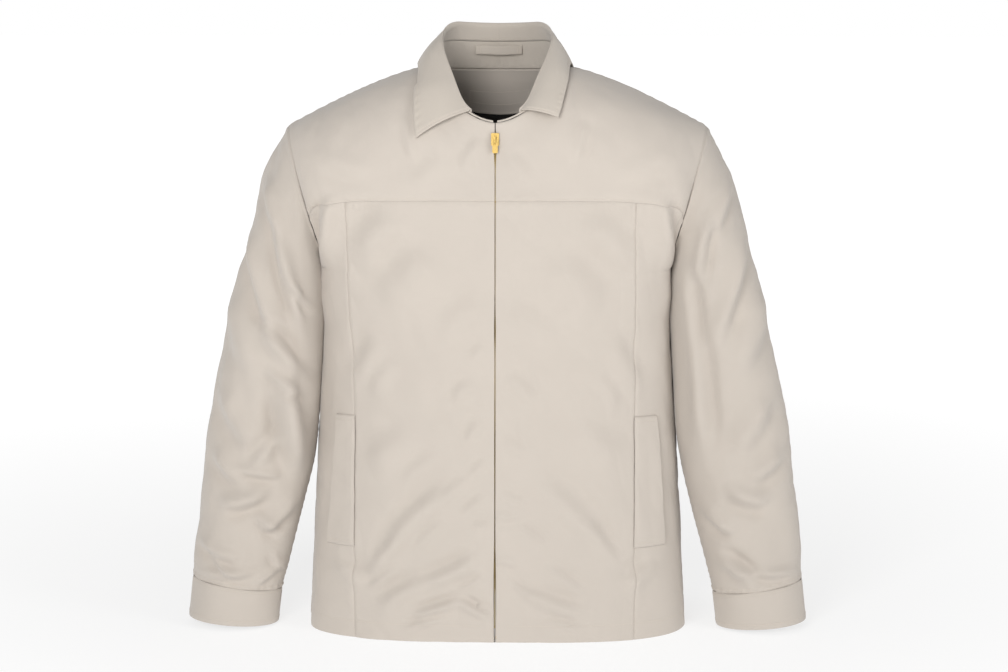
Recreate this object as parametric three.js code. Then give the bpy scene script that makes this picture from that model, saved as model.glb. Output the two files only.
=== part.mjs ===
// Zip-front jacket with a shirt collar, front and back yokes, panelled fronts, two upright welt
// pockets, set-in sleeves on plain cuff bands and a full lining. Millimetres, +Z up. The front
// faces -Y and the wearer's left is +X. It stands on its hem, filled out as if it were worn.
import * as THREE from 'three';

// ---- Body ----
const hemHalfWidth = 237;
const chestHalfWidth = 211;        // at the bottom of the armhole
const armholeBottom = 455;         // height of the armpit
const frontHemDepth = 131;         // centre front, ahead of the side seams
const frontNeckDepth = 101;        // the same at the top of the zip
const frontNeckHeight = 638;
const backHemDepth = 131;
const backNeckDepth = 68;
const backNeckHeight = 688;
const bladeDepth = 112;            // centre back at the yoke seam
const neckHalfWidth = 88;
const neckSideHeight = 697;
const shoulderHalfWidth = 258;
const shoulderTipHeight = 624;
const armholeDepth = 68;           // the armhole ahead of and behind the shoulder line
const sectionPower = 2.4;          // how square the body is from above
const yokeHeight = 543;            // yoke seam at the centre
const yokeDrop = 24;               // and how far it falls to the armhole
const neckColumn = 0.25;           // share of the half front that runs up to the neckline
const panelColumn = 0.48;          // share that the centre panels take, to the long seams

// ---- Cloth ----
const shellThickness = 1.2;
const liningThickness = 0.8;
const seamGap = 0.4;               // between pieces that are sewn edge to edge
const layerGap = 0.4;              // between pieces that lie on each other
const tapeThickness = 0.6;
const facingThickness = 0.8;
const facingColumn = 0.11;          // the front facing's inner edge
const liningTop = 1.66;            // where the lining meets the neck facing, in body rows
const liningBottom = 0.03;

// ---- Sleeves ----
const sleeveThickness = 1.2;
const sleeveLiningGap = 2;
const cuffThickness = 2.4;
const cuffHeight = 45;
const cuffClearance = 3;           // the cuffs hang this far above the floor
const elbowDepth = 62;             // half of the sleeve, front to back
const cuffDepth = 46;
const sleeveForward = 34;          // the cuff hangs this far ahead of the shoulder
const cuffFlare = 5;

// ---- Collar ----
const standHeight = 56;            // neck seam to roll line at the back
const standFrontHeight = 11;
const rollNarrowing = 0.72;       // the roll line leans in over the neck seam by this
const standThickness = 2;
const leafThickness = 2.2;
const neckSteps = 9;               // steps in each quarter of the neckline
const collarStartStep = 2;         // the collar starts this many of them from the zip
const standSeat = 0.9;             // the stand's lower edge above the neck seam
const leafBackFall = 72;
const leafShoulderColumn = 0.33;   // where the leaf's edge crosses the shoulder seam
const loopLength = 58;
const loopHeight = 11;
const loopBow = 2.5;
const loopThickness = 1.2;
const loopClearance = 1.1;         // off the stand's flats at the loop's ends

// ---- Pockets ----
const weltBottom = 114;
const weltHeight = 163;
const weltColumn = 0.655;          // the welt's open edge; its sewn edge is the long seam
const weltThickness = 1.8;
const bagDrop = 24;                // the bag hangs this far below the welt
const bagThickness = 1.6;

// ---- Zip ----
const frontEdgeGap = 2.4;
const chainWidth = 2.3;
const chainDepth = 2.2;
const chainStart = 1.2;
const tapeWidth = 12;
const sliderLength = 15;
const sliderWidth = 9.6;
const sliderWeb = 1.8;
const sliderPlate = 1.5;
const sliderTopDrop = 4;           // below the top of the zip
const bailWidth = 1.6;
const bailReach = 4.2;
const bailWire = 1;
const pullWidth = 6.6;
const pullLength = 17;
const pullThickness = 1.2;
const pullWindow = 3.4;
const pullBar = 1.2;
const stopHeight = 3;
const pinLength = 14;

const quarter = Math.PI / 2;
const left = 1;
const right = -1;
const front = -1;
const back = 1;

const cloth = (color, roughness = 0.92) => new THREE.MeshStandardMaterial({ color, roughness, metalness: 0 });
const brass = (color) => new THREE.MeshStandardMaterial({ color, roughness: 0.38, metalness: 1 });
const stone = cloth(0xdcd3ca);
const stoneShade = cloth(0xd0c7bd);
const collarStone = cloth(0xd8d0c5);
const liningCloth = cloth(0x23201b, 0.7);
const pocketing = cloth(0x8d857b);
const tapeCloth = cloth(0xbfb5a7);
const zipBrass = brass(0x9f906f);

const jacket = new THREE.Group();

function addMesh(name, geometry, material, parent = jacket) {
  const mesh = new THREE.Mesh(geometry, material);
  mesh.name = name;
  parent.add(mesh);
  return mesh;
}

const mix = (a, b, t) => a + (b - a) * t;

// ---- Body surface ----
// Column 0 is the centre and 1 the side seam or armhole. Row 0 is the hem, 1 the yoke seam and
// 2 the neckline and shoulder seam. face is front or back.
const yokeSeamHeight = (column) => yokeHeight - yokeDrop * column ** 3;
const armholeHalfHeight = (shoulderTipHeight - armholeBottom) / 2;
const armholeMiddle = armholeBottom + armholeHalfHeight;

function armholeAt(height) {
  const rise = THREE.MathUtils.clamp((height - armholeMiddle) / armholeHalfHeight, -1, 1);
  return {
    x: mix(chestHalfWidth, shoulderHalfWidth, (rise + 1) / 2),
    depth: armholeDepth * Math.sqrt(1 - rise * rise),
  };
}

function centreDepth(face, height) {
  if (face === front) return mix(frontHemDepth, frontNeckDepth, height / frontNeckHeight);
  return mix(backHemDepth, bladeDepth, THREE.MathUtils.clamp(height / yokeHeight, 0, 1) ** 1.6);
}

function lowerBody(face, column, height) {
  const angle = column * quarter;
  const across = Math.sin(angle) ** (2 / sectionPower);
  const ahead = Math.cos(angle) ** (2 / sectionPower);
  const edge = height < armholeBottom
    ? { x: mix(hemHalfWidth, chestHalfWidth, height / armholeBottom), depth: 0 }
    : armholeAt(height);
  const depth = mix(edge.depth, centreDepth(face, height), ahead);
  return new THREE.Vector3(edge.x * across, face * depth, height);
}

// The neckline, from the centre (0) to the neck end of the shoulder seam (1).
function neckline(face, share) {
  const across = Math.sin(share * quarter);
  const rest = Math.cos(share * quarter);
  const depth = face === front ? frontNeckDepth : backNeckDepth;
  const low = face === front ? frontNeckHeight : backNeckHeight;
  return new THREE.Vector3(neckHalfWidth * across, face * depth * rest, mix(neckSideHeight, low, rest));
}

function shoulderSeam(share) {
  const fall = (neckSideHeight - shoulderTipHeight) * share ** 1.3;
  return new THREE.Vector3(mix(neckHalfWidth, shoulderHalfWidth, share), 0, neckSideHeight - fall);
}

function hermite(start, startDirection, end, endDirection, t) {
  const reach = start.distanceTo(end) * 1.25;
  const t2 = t * t;
  const t3 = t2 * t;
  return start.clone().multiplyScalar(2 * t3 - 3 * t2 + 1)
    .addScaledVector(startDirection, (t3 - 2 * t2 + t) * reach)
    .addScaledVector(end, 3 * t2 - 2 * t3)
    .addScaledVector(endDirection, (t3 - t2) * reach);
}

function yokeCurve(face, column, t) {
  const seam = yokeSeamHeight(column);
  const start = lowerBody(face, column, seam);
  const rising = start.clone().sub(lowerBody(face, column, seam - 6)).normalize();
  const atNeck = Math.min(1, column / neckColumn);
  const end = column <= neckColumn
    ? neckline(face, atNeck)
    : shoulderSeam((column - neckColumn) / (1 - neckColumn));
  const neckLean = face === front ? (frontHemDepth - frontNeckDepth) / frontNeckHeight : 0.35;
  const arrive = new THREE.Vector3(0, -face * mix(neckLean, 1, atNeck), mix(1, 0, atNeck)).normalize();
  return hermite(start, rising, end, arrive, t);
}

function yokeSurface(face, column, t) {
  const point = yokeCurve(face, column, t);
  // At the armhole the yoke follows the armhole's ellipse.
  const seam = yokeSeamHeight(1);
  const low = Math.asin((seam - armholeMiddle) / armholeHalfHeight);
  const turn = mix(low, quarter, t);
  const height = armholeMiddle + armholeHalfHeight * Math.sin(turn);
  const edge = armholeAt(height);
  const onArmhole = new THREE.Vector3(edge.x, face * edge.depth, height);
  const slack = onArmhole.sub(yokeCurve(face, 1, t));
  return point.addScaledVector(slack, column ** 4);
}

function bodySurface(face, column, row) {
  const side = column < 0 ? right : left;
  const share = Math.min(Math.abs(column), 1);
  const point = row <= 1
    ? lowerBody(face, share, row * yokeSeamHeight(share))
    : yokeSurface(face, share, Math.min(row - 1, 1));
  point.x *= side;
  return point;
}

// ---- Cloth pieces ----
// A piece is the solid between two layers of a surface, over a range of columns and rows.
const steps = (start, end, count) => Array.from({ length: count + 1 }, (_, i) => mix(start, end, i / count));

function surfaceNormal(surface, column, row, outside) {
  const small = 1e-3;
  const across = surface(column + small, row).sub(surface(column - small, row));
  const along = surface(column, row + small).sub(surface(column, row - small));
  const normal = across.cross(along).normalize();
  if (normal.dot(outside(surface(column, row))) < 0) normal.negate();
  return normal;
}

const awayFromBody = (point) => new THREE.Vector3(point.x, point.y, Math.max(0, point.z - armholeMiddle));

function faceOut(geometry) {
  const p = geometry.attributes.position;
  const index = geometry.index.array;
  const corner = (i) => new THREE.Vector3().fromBufferAttribute(p, index[i]);
  let volume = 0;
  for (let i = 0; i < index.length; i += 3) volume += corner(i).dot(corner(i + 1).cross(corner(i + 2)));
  if (volume < 0) {
    for (let i = 0; i < index.length; i += 3) [index[i], index[i + 1]] = [index[i + 1], index[i]];
  }
  geometry.computeVertexNormals();
  return geometry;
}

// rows by columns of points on the outer and the inner layer, closed round the rim. A ring has
// no rim along its columns, because its last column is its first.
function layeredGeometry(outer, inner, ring = false) {
  const rows = outer.length;
  const columns = outer[0].length;
  const points = [...outer.flat(), ...inner.flat()].flatMap((p) => [p.x, p.y, p.z]);
  const index = [];
  const at = (layer, row, column) => layer * rows * columns + row * columns + (column % columns);
  const quad = (a, b, c, d) => index.push(a, b, c, a, c, d);
  const spans = ring ? columns : columns - 1;
  for (let r = 0; r < rows - 1; r++) {
    for (let c = 0; c < spans; c++) {
      quad(at(0, r, c), at(0, r, c + 1), at(0, r + 1, c + 1), at(0, r + 1, c));
      quad(at(1, r, c), at(1, r + 1, c), at(1, r + 1, c + 1), at(1, r, c + 1));
    }
    if (!ring) {
      quad(at(0, r, 0), at(0, r + 1, 0), at(1, r + 1, 0), at(1, r, 0));
      quad(at(0, r, columns - 1), at(1, r, columns - 1), at(1, r + 1, columns - 1), at(0, r + 1, columns - 1));
    }
  }
  for (let c = 0; c < spans; c++) {
    quad(at(0, 0, c), at(1, 0, c), at(1, 0, c + 1), at(0, 0, c + 1));
    quad(at(0, rows - 1, c), at(0, rows - 1, c + 1), at(1, rows - 1, c + 1), at(1, rows - 1, c));
  }
  const geometry = new THREE.BufferGeometry();
  geometry.setAttribute('position', new THREE.Float32BufferAttribute(points, 3));
  geometry.setIndex(index);
  return faceOut(geometry);
}

function clothPiece(name, material, surface, columns, rows, outerLayer, innerLayer, shape = (p) => p) {
  const layer = (offset) => rows.map((row) => columns.map((column) => {
    const point = surface(column, row);
    const { z } = point;
    point.addScaledVector(surfaceNormal(surface, column, row, awayFromBody), offset);
    if (z === 0) point.z = 0;                    // the hem is cut level
    return shape(point);
  }));
  return addMesh(name, layeredGeometry(layer(outerLayer), layer(innerLayer)), material);
}

const frontSurface = (column, row) => bodySurface(front, column, row);
const backSurface = (column, row) => bodySurface(back, column, row);
const columnGap = seamGap / 2 / 300;             // a column is about 300 mm round the body
const rowGap = seamGap / 2 / yokeHeight;
const yokeRowGap = seamGap / 2 / 170;            // a yoke is about 170 mm over the shoulder
const armpitRow = armholeBottom / yokeSeamHeight(1);
const bodyRows = [...steps(0, armpitRow, 6), ...steps(armpitRow, 1 - rowGap, 2).slice(1)];
const yokeRows = [...steps(1 + yokeRowGap, liningTop, 3), ...steps(liningTop, 2 - yokeRowGap, 2).slice(1)];

// Each front edge stops short of the middle, so that the slider's web passes between them.
const keepOffCentre = (side) => (point) => {
  if (point.x * side < frontEdgeGap / 2) point.x = side * frontEdgeGap / 2;
  return point;
};

const sides = [['left', left], ['right', right]];

// ---- Shell: yokes, centre panels, side panels and back panels ----
// Pieces that meet along a seam have their columns in common.
const nearCentre = 0.0005;
const centreColumns = [
  nearCentre, facingColumn, mix(facingColumn, neckColumn, 0.5),
  ...steps(neckColumn, panelColumn, 2),
];
const sideColumns = [...steps(panelColumn, weltColumn, 2), ...steps(weltColumn, 1 - columnGap, 3).slice(1)];
const yokeColumns = [...steps(nearCentre, neckColumn, neckSteps), ...centreColumns.slice(4), ...sideColumns.slice(1)];
const onSide = (side, columns) => columns.map((column) => side * column);
const shell = [0, -shellThickness];
for (const [word, side] of sides) {
  const trim = keepOffCentre(side);
  const centre = [...centreColumns.slice(0, -1), panelColumn - columnGap];
  const outboard = [panelColumn + columnGap, ...sideColumns.slice(1)];
  const half = [...centreColumns, ...sideColumns.slice(1)];
  clothPiece(`${word}_front_panel`, stone, frontSurface, onSide(side, centre), bodyRows, ...shell, trim);
  clothPiece(`${word}_side_panel`, stoneShade, frontSurface, onSide(side, outboard), bodyRows, ...shell);
  clothPiece(`${word}_front_yoke`, stone, frontSurface, onSide(side, yokeColumns), yokeRows, ...shell, trim);
  clothPiece(`${word}_back_panel`, stoneShade, backSurface,
    onSide(side, [columnGap, ...half.slice(1)]), bodyRows, ...shell);
}
const bothSides = (columns) => [...onSide(right, columns).reverse(), 0, ...columns];
clothPiece('back_yoke', stone, backSurface, bothSides(yokeColumns.slice(1)), yokeRows, ...shell);

// ---- Inside: facings and linings ----
const bagLayer = -(shellThickness + layerGap);
const tapeDepth = shellThickness + 1;            // the tape runs into the middle of the teeth
const facingLayer = -(tapeDepth + tapeThickness + 2 * layerGap);
const liningLayer = facingLayer - facingThickness - layerGap;
const facingStart = 0.0085;                      // clear of the slider's back plate
const insideRows = [liningBottom, ...bodyRows.slice(1, -1), 1, ...yokeRows.slice(1, 4)];
const facingRows = [0.005, ...bodyRows.slice(1, -1), 1, ...yokeRows.slice(1, 5), 1.975];
const sideEnd = 0.985;
for (const [word, side] of sides) {
  clothPiece(`${word}_front_facing`, stoneShade, frontSurface,
    onSide(side, [facingStart, facingColumn]), facingRows, facingLayer, facingLayer - facingThickness);
  clothPiece(`${word}_front_lining`, liningCloth, frontSurface,
    onSide(side, [facingColumn, ...centreColumns.slice(2), ...sideColumns.slice(1, -1), sideEnd]), insideRows,
    liningLayer, liningLayer - liningThickness);
  clothPiece(`${word}_back_lining`, liningCloth, backSurface,
    onSide(side, [columnGap, ...centreColumns.slice(1), ...sideColumns.slice(1, -1), sideEnd]), insideRows,
    liningLayer, liningLayer - liningThickness);
}
clothPiece('back_neck_facing', stoneShade, backSurface, bothSides(centreColumns.slice(1, 5)),
  [liningTop + 0.006, yokeRows[4], 1.985], liningLayer, liningLayer - facingThickness);

// ---- Pockets ----
const frontAtHeight = (column, height) => frontSurface(column, height / yokeSeamHeight(Math.abs(column)));
const weltColumns = [panelColumn + columnGap, ...sideColumns.slice(1, 3)];
const bagColumns = [neckColumn, ...centreColumns.slice(4, 5), ...sideColumns.slice(0, 3)];
for (const [word, side] of sides) {
  clothPiece(`${word}_pocket_welt`, stone, frontAtHeight,
    onSide(side, weltColumns), steps(weltBottom, weltBottom + weltHeight, 3), layerGap + weltThickness, layerGap);
  clothPiece(`${word}_pocket_bag`, pocketing, frontAtHeight,
    onSide(side, bagColumns), steps(weltBottom - bagDrop, weltBottom + weltHeight, 3),
    bagLayer, bagLayer - bagThickness);
}

// ---- Sleeves ----
// Each ring of a sleeve runs between an outer and an inner line, first on the armhole's plane and
// turning level towards the cuff. The inner line lies along the body's side down to the hip.
const bodySide = (height) => mix(hemHalfWidth, chestHalfWidth, height / armholeBottom);
const beside = (height, room) => [bodySide(height) + room, height];
const line = (points) => new THREE.CatmullRomCurve3(points.map(([x, z]) => new THREE.Vector3(x, 0, z)));
const outerLine = line([
  [shoulderHalfWidth, shoulderTipHeight], [shoulderHalfWidth + 28, 572], [shoulderHalfWidth + 49, 503],
  [shoulderHalfWidth + 70, 424], [shoulderHalfWidth + 88, 342], [shoulderHalfWidth + 101, 272],
  [shoulderHalfWidth + 111, 203], [shoulderHalfWidth + 119, 122], [shoulderHalfWidth + 123, 60],
]);
const innerLine = line([
  [chestHalfWidth, armholeBottom], beside(428, 3), beside(384, 3), beside(330, 3), beside(268, 3),
  beside(214, 4), beside(158, 13), beside(95, 26), beside(44, 37),
]);

function sleeveRing(share, spread, offset, count) {
  const outer = outerLine.getPoint(share);
  const inner = innerLine.getPoint(share);
  const centre = outer.clone().add(inner).multiplyScalar(0.5);
  centre.y = -sleeveForward * share ** 1.5;
  const across = outer.sub(inner).multiplyScalar(0.5);
  const halfWidth = across.length();
  across.multiplyScalar((halfWidth + offset) / halfWidth);
  const elbow = share < 0.5
    ? mix(armholeDepth, elbowDepth, share * 2) + 5 * Math.sin(share * 2 * Math.PI)
    : mix(elbowDepth, cuffDepth, share * 2 - 1);
  const ring = [];
  for (let i = 0; i < count; i++) {
    const angle = (i / count) * Math.PI * 2;
    ring.push(new THREE.Vector3(0, (elbow + offset) * Math.sin(angle), 0)
      .addScaledVector(across, Math.cos(angle)).add(centre).add(spread));
  }
  return ring;
}

const mirrored = (rings, side) => rings.map((ring) => ring.map((p) => new THREE.Vector3(p.x * side, p.y, p.z)));
const armholePlane = new THREE.Vector3(
  shoulderTipHeight - armholeBottom, 0, chestHalfWidth - shoulderHalfWidth).normalize();
const offArmhole = armholePlane.clone().multiplyScalar(seamGap);
const ringSides = 16;
const sleeveSteps = steps(0, 1, 12);
const cuffAxis = new THREE.Vector3(cuffFlare, -3, -cuffHeight).normalize();

for (const [word, side] of sides) {
  const tube = (offset, shares, count) => mirrored(shares.map((s) => sleeveRing(s, offArmhole, offset, count)), side);
  addMesh(`${word}_sleeve`, layeredGeometry(
    tube(0, sleeveSteps, ringSides), tube(-sleeveThickness, sleeveSteps, ringSides), true), stoneShade);
  const liningSteps = [0.01, ...sleeveSteps.slice(1, -1), 0.99];
  const liningOffset = -(sleeveThickness + sleeveLiningGap);
  addMesh(`${word}_sleeve_lining`, layeredGeometry(
    tube(liningOffset, liningSteps, ringSides),
    tube(liningOffset - liningThickness, liningSteps, ringSides), true), liningCloth);
  const cuffRing = (offset, drop) => sleeveRing(1, offArmhole.clone().addScaledVector(cuffAxis, drop), offset, ringSides);
  const cuffDrops = [seamGap, cuffHeight / 2, cuffHeight - cuffClearance];
  addMesh(`${word}_cuff`, layeredGeometry(
    mirrored(cuffDrops.map((d) => cuffRing(0.4, d)), side),
    mirrored(cuffDrops.map((d) => cuffRing(0.4 - cuffThickness, d)), side), true), stone);
}

// ---- Collar ----
// share 0 is the centre back, 1 the end of the collar on the front neckline.
const collarSteps = 2 * neckSteps - collarStartStep;
const collarReach = collarSteps / neckSteps;
const collarStart = collarStartStep / neckSteps;

function neckPath(share) {
  const turn = share * collarReach;
  return turn < 1 ? neckline(back, turn) : neckline(front, 2 - turn);
}

function rollLine(share) {
  const base = neckPath(share);
  const rise = mix(standHeight, standFrontHeight, THREE.MathUtils.smoothstep(share, 0.3, 1));
  const pull = mix(0.93, 1, share);
  return new THREE.Vector3(base.x * mix(rollNarrowing, 1, share ** 2), base.y * pull, base.z + rise);
}

function leafEdge(share, side) {
  const tip = side === left ? { column: 0.175, row: 1.55 } : { column: 0.25, row: 1.36 };
  const turn = share * collarReach;
  let point;
  let normal;
  if (turn < 1) {
    const row = mix(2 - (leafBackFall - standHeight) / 170, 1.97, turn);
    const column = mix(0, leafShoulderColumn, turn);
    point = backSurface(column, row);
    normal = surfaceNormal(backSurface, column, row, awayFromBody);
  } else {
    const t = (turn - 1) / (1 - collarStart);
    const column = mix(leafShoulderColumn, tip.column, t ** 0.8);
    const row = mix(1.97, tip.row, t);
    point = frontSurface(column, row);
    normal = surfaceNormal(frontSurface, column, row, awayFromBody);
  }
  return point.addScaledVector(normal, leafThickness + 2.4);
}

const collarColumns = steps(0, 1, collarSteps);
for (const [word, side] of sides) {
  const standSurface = (share, height) => {
    const low = neckPath(share);
    low.z += standSeat;
    return low.lerp(rollLine(share), height);
  };
  clothPieceMirror(`${word}_collar_stand`, collarStone, standSurface, side,
    collarColumns, steps(0, 0.96, 2), 0, -standThickness);
  const leafSurface = (share, fall) => {
    const top = rollLine(share);
    const low = leafEdge(share, side);
    const middle = top.clone().lerp(low, 0.42);
    middle.x += 9 * Math.sin(Math.min(1, share * 1.1) * Math.PI * 0.5);
    middle.y += 10 * Math.cos(share * Math.PI);
    middle.z += 7;
    const a = top.lerp(middle, fall);
    return a.lerp(middle.lerp(low, fall), fall);
  };
  clothPieceMirror(`${word}_collar_leaf`, collarStone, leafSurface, side,
    collarColumns, steps(0.01, 1, 4), leafThickness, 0);
}

function clothPieceMirror(name, material, surface, side, columns, rows, outerLayer, innerLayer) {
  const outward = (p) => new THREE.Vector3(p.x, p.y, 40);
  const layer = (offset) => rows.map((row) => columns.map((column) => {
    const c = THREE.MathUtils.clamp(column, 2e-3, 1 - 2e-3);
    const r = THREE.MathUtils.clamp(row, 2e-3, 1 - 2e-3);
    const point = surface(column, row).addScaledVector(surfaceNormal(surface, c, r, outward), offset);
    return new THREE.Vector3(side * Math.max(point.x, seamGap / 2), point.y, point.z);
  }));
  return addMesh(name, layeredGeometry(layer(outerLayer), layer(innerLayer)), material);
}

// Hanger loop: a strap sewn to the inside of the stand at its two ends, bowed off it between them.
const loopRise = 0.42;
const loopTurn = Math.asin(loopLength / 2 / (neckHalfWidth * mix(1, rollNarrowing, loopRise))) / quarter / collarReach;
const loopEnd = neckPath(loopTurn).lerp(rollLine(loopTurn), loopRise);
const loopOutline = new THREE.Shape();
loopOutline.moveTo(-loopLength / 2, 0);
loopOutline.quadraticCurveTo(0, -2 * loopBow, loopLength / 2, 0);
loopOutline.lineTo(loopLength / 2, -loopThickness);
loopOutline.quadraticCurveTo(0, -2 * loopBow - loopThickness, -loopLength / 2, -loopThickness);
const loop = addMesh('hanger_loop', new THREE.ExtrudeGeometry(loopOutline, {
  depth: loopHeight, bevelEnabled: false, curveSegments: 6,
}), collarStone);
loop.position.set(0, loopEnd.y - standThickness - loopClearance, loopEnd.z - loopHeight / 2);

// ---- Zip ----
// Everything on the zip sits in one frame: its origin at the hem's centre front, +Z up the zip
// and +Y into the jacket, measured from the outside of the cloth.
const zip = new THREE.Group();
zip.position.set(0, -frontHemDepth, 0);
zip.rotation.x = -Math.atan((frontHemDepth - frontNeckDepth) / frontNeckHeight);
jacket.add(zip);
const zipLength = Math.hypot(frontHemDepth - frontNeckDepth, frontNeckHeight);
const zipTop = zipLength - 8;
const zipBottom = 4;
const chainLayer = shellThickness + layerGap;

function block(name, material, low, high) {
  const size = high.map((v, i) => v - low[i]);
  const mesh = addMesh(name, new THREE.BoxGeometry(...size), material, zip);
  mesh.position.set(...low.map((v, i) => v + size[i] / 2));
}

function sideBlock(name, material, side, nearX, farX, depthRange, heightRange) {
  const [x0, x1] = side === left ? [nearX, farX] : [-farX, -nearX];
  block(name, material, [x0, depthRange[0], heightRange[0]], [x1, depthRange[1], heightRange[1]]);
}

const chainEnd = chainStart + chainWidth;
for (const [word, side] of sides) {
  const depth = [chainLayer, chainLayer + chainDepth];
  const bottom = zipBottom + pinLength;
  sideBlock(`${word}_zip_chain`, zipBrass, side, chainStart, chainEnd, depth, [bottom, zipTop - stopHeight]);
  sideBlock(`${word}_zip_stop`, zipBrass, side, chainStart, chainEnd, depth,
    [zipTop - stopHeight + layerGap, zipTop]);
  sideBlock(`${word}_zip_tape`, tapeCloth, side, chainEnd + layerGap, chainEnd + tapeWidth,
    [tapeDepth, tapeDepth + tapeThickness], [zipBottom, zipTop]);
}
sideBlock('zip_pin', zipBrass, left, chainStart, chainEnd, [chainLayer, chainLayer + chainDepth],
  [zipBottom, zipBottom + pinLength - layerGap]);
sideBlock('zip_box', zipBrass, right, chainStart, chainEnd, [chainLayer, chainLayer + chainDepth + 1],
  [zipBottom, zipBottom + pinLength - layerGap]);

// The slider is an I in section: a plate on each side of the cloth and chain, and a web between.
const sliderBack = chainLayer + chainDepth + layerGap;
const sliderFront = -layerGap;
const sliderSection = new THREE.Shape();
sliderSection.moveTo(-sliderWidth / 2, sliderFront - sliderPlate);
for (const [x, y] of [
  [sliderWidth / 2, sliderFront - sliderPlate], [sliderWidth / 2, sliderFront], [sliderWeb / 2, sliderFront],
  [sliderWeb / 2, sliderBack], [sliderWidth / 2, sliderBack], [sliderWidth / 2, sliderBack + sliderPlate],
  [-sliderWidth / 2, sliderBack + sliderPlate], [-sliderWidth / 2, sliderBack], [-sliderWeb / 2, sliderBack],
  [-sliderWeb / 2, sliderFront], [-sliderWidth / 2, sliderFront],
]) sliderSection.lineTo(x, y);
const sliderTop = zipTop - sliderTopDrop;
const slider = addMesh('zip_slider', new THREE.ExtrudeGeometry(sliderSection, {
  depth: sliderLength, bevelEnabled: false,
}), zipBrass, zip);
slider.position.set(0, 0, sliderTop - sliderLength);

// The bail is an arch over the slider's front plate, and the pull's top bar runs through it.
const plateFace = sliderFront - sliderPlate;
const bailOutline = new THREE.Shape();
const bailHalf = 4.6;
bailOutline.moveTo(-bailHalf, 0);
bailOutline.lineTo(-bailHalf, bailReach - 1);
bailOutline.quadraticCurveTo(-bailHalf, bailReach, -bailHalf + 1, bailReach);
bailOutline.lineTo(bailHalf - 1, bailReach);
bailOutline.quadraticCurveTo(bailHalf, bailReach, bailHalf, bailReach - 1);
bailOutline.lineTo(bailHalf, 0);
bailOutline.lineTo(bailHalf - bailWire, 0);
bailOutline.lineTo(bailHalf - bailWire, bailReach - bailWire);
bailOutline.lineTo(-bailHalf + bailWire, bailReach - bailWire);
bailOutline.lineTo(-bailHalf + bailWire, 0);
const bail = addMesh('zip_bail', new THREE.ExtrudeGeometry(bailOutline, {
  depth: bailWidth, bevelEnabled: false, curveSegments: 3,
}), zipBrass, zip);
// The outline's x runs up the zip, its y out of the jacket and its depth across the slider.
bail.quaternion.setFromRotationMatrix(new THREE.Matrix4().makeBasis(
  new THREE.Vector3(0, 0, 1), new THREE.Vector3(0, -1, 0), new THREE.Vector3(1, 0, 0)));
bail.position.set(-bailWidth / 2, plateFace - 0.3, sliderTop - sliderLength / 2);

const pullPivotDepth = plateFace - 0.3 - (bailReach - bailWire) / 2;
const pullPivotHeight = sliderTop - sliderLength / 2;
const pullOutline = new THREE.Shape();
const pullTop = pullBar / 2;
const pullCorner = 1.6;
pullOutline.moveTo(-pullWidth / 2, pullTop);
pullOutline.lineTo(pullWidth / 2, pullTop);
pullOutline.lineTo(pullWidth / 2, pullTop - pullLength + pullCorner);
pullOutline.quadraticCurveTo(
  pullWidth / 2, pullTop - pullLength, pullWidth / 2 - pullCorner, pullTop - pullLength);
pullOutline.lineTo(-pullWidth / 2 + pullCorner, pullTop - pullLength);
pullOutline.quadraticCurveTo(
  -pullWidth / 2, pullTop - pullLength, -pullWidth / 2, pullTop - pullLength + pullCorner);
const pullHole = new THREE.Path();
const windowLength = bailHalf + 1.6;
pullHole.moveTo(-pullWindow / 2, -pullBar / 2);
pullHole.lineTo(-pullWindow / 2, -pullBar / 2 - windowLength);
pullHole.lineTo(pullWindow / 2, -pullBar / 2 - windowLength);
pullHole.lineTo(pullWindow / 2, -pullBar / 2);
pullOutline.holes.push(pullHole);
const pull = addMesh('zip_pull', new THREE.ExtrudeGeometry(pullOutline, {
  depth: pullThickness, bevelEnabled: false, curveSegments: 3,
}), zipBrass, zip);
pull.rotation.x = Math.PI / 2;
pull.position.set(0, pullPivotDepth + pullThickness / 2, pullPivotHeight);

jacket.updateMatrixWorld(true);
export default jacket;
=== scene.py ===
import math

import bmesh
import bpy
import numpy as np
from mathutils import Matrix, Vector


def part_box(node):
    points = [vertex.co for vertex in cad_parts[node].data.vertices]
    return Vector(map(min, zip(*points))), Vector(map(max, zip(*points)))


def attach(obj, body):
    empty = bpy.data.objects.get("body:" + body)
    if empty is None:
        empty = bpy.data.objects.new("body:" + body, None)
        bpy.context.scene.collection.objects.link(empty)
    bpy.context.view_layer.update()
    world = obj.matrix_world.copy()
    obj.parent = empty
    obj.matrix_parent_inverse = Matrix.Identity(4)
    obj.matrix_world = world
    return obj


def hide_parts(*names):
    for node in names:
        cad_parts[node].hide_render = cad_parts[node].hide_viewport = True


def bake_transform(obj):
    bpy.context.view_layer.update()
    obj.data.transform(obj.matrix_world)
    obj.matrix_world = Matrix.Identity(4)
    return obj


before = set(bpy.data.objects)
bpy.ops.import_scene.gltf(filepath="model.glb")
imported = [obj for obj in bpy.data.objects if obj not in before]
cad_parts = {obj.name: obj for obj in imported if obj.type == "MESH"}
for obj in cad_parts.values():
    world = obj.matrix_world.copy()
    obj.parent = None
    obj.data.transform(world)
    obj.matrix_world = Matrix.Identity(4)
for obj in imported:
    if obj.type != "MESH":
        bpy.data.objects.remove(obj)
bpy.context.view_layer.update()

MM = 0.001
FRONT = -1
BACK = 1
LEFT = 1
RIGHT = -1
SIDES = (("left", LEFT), ("right", RIGHT))


# ---- Materials ----
# The cloth is one stone-coloured cotton twill throughout, the lining a dark plain-woven satin, and
# the zip has antiqued brass on a woven tape. Patterns run in metres along each piece's own weave.
def linear(code):
    """A colour from its sRGB hex code, for a shader."""
    channels = [int(code[i : i + 2], 16) / 255 for i in (1, 3, 5)]
    return [c / 12.92 if c <= 0.04045 else ((c + 0.055) / 1.055) ** 2.4 for c in channels] + [1]


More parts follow.
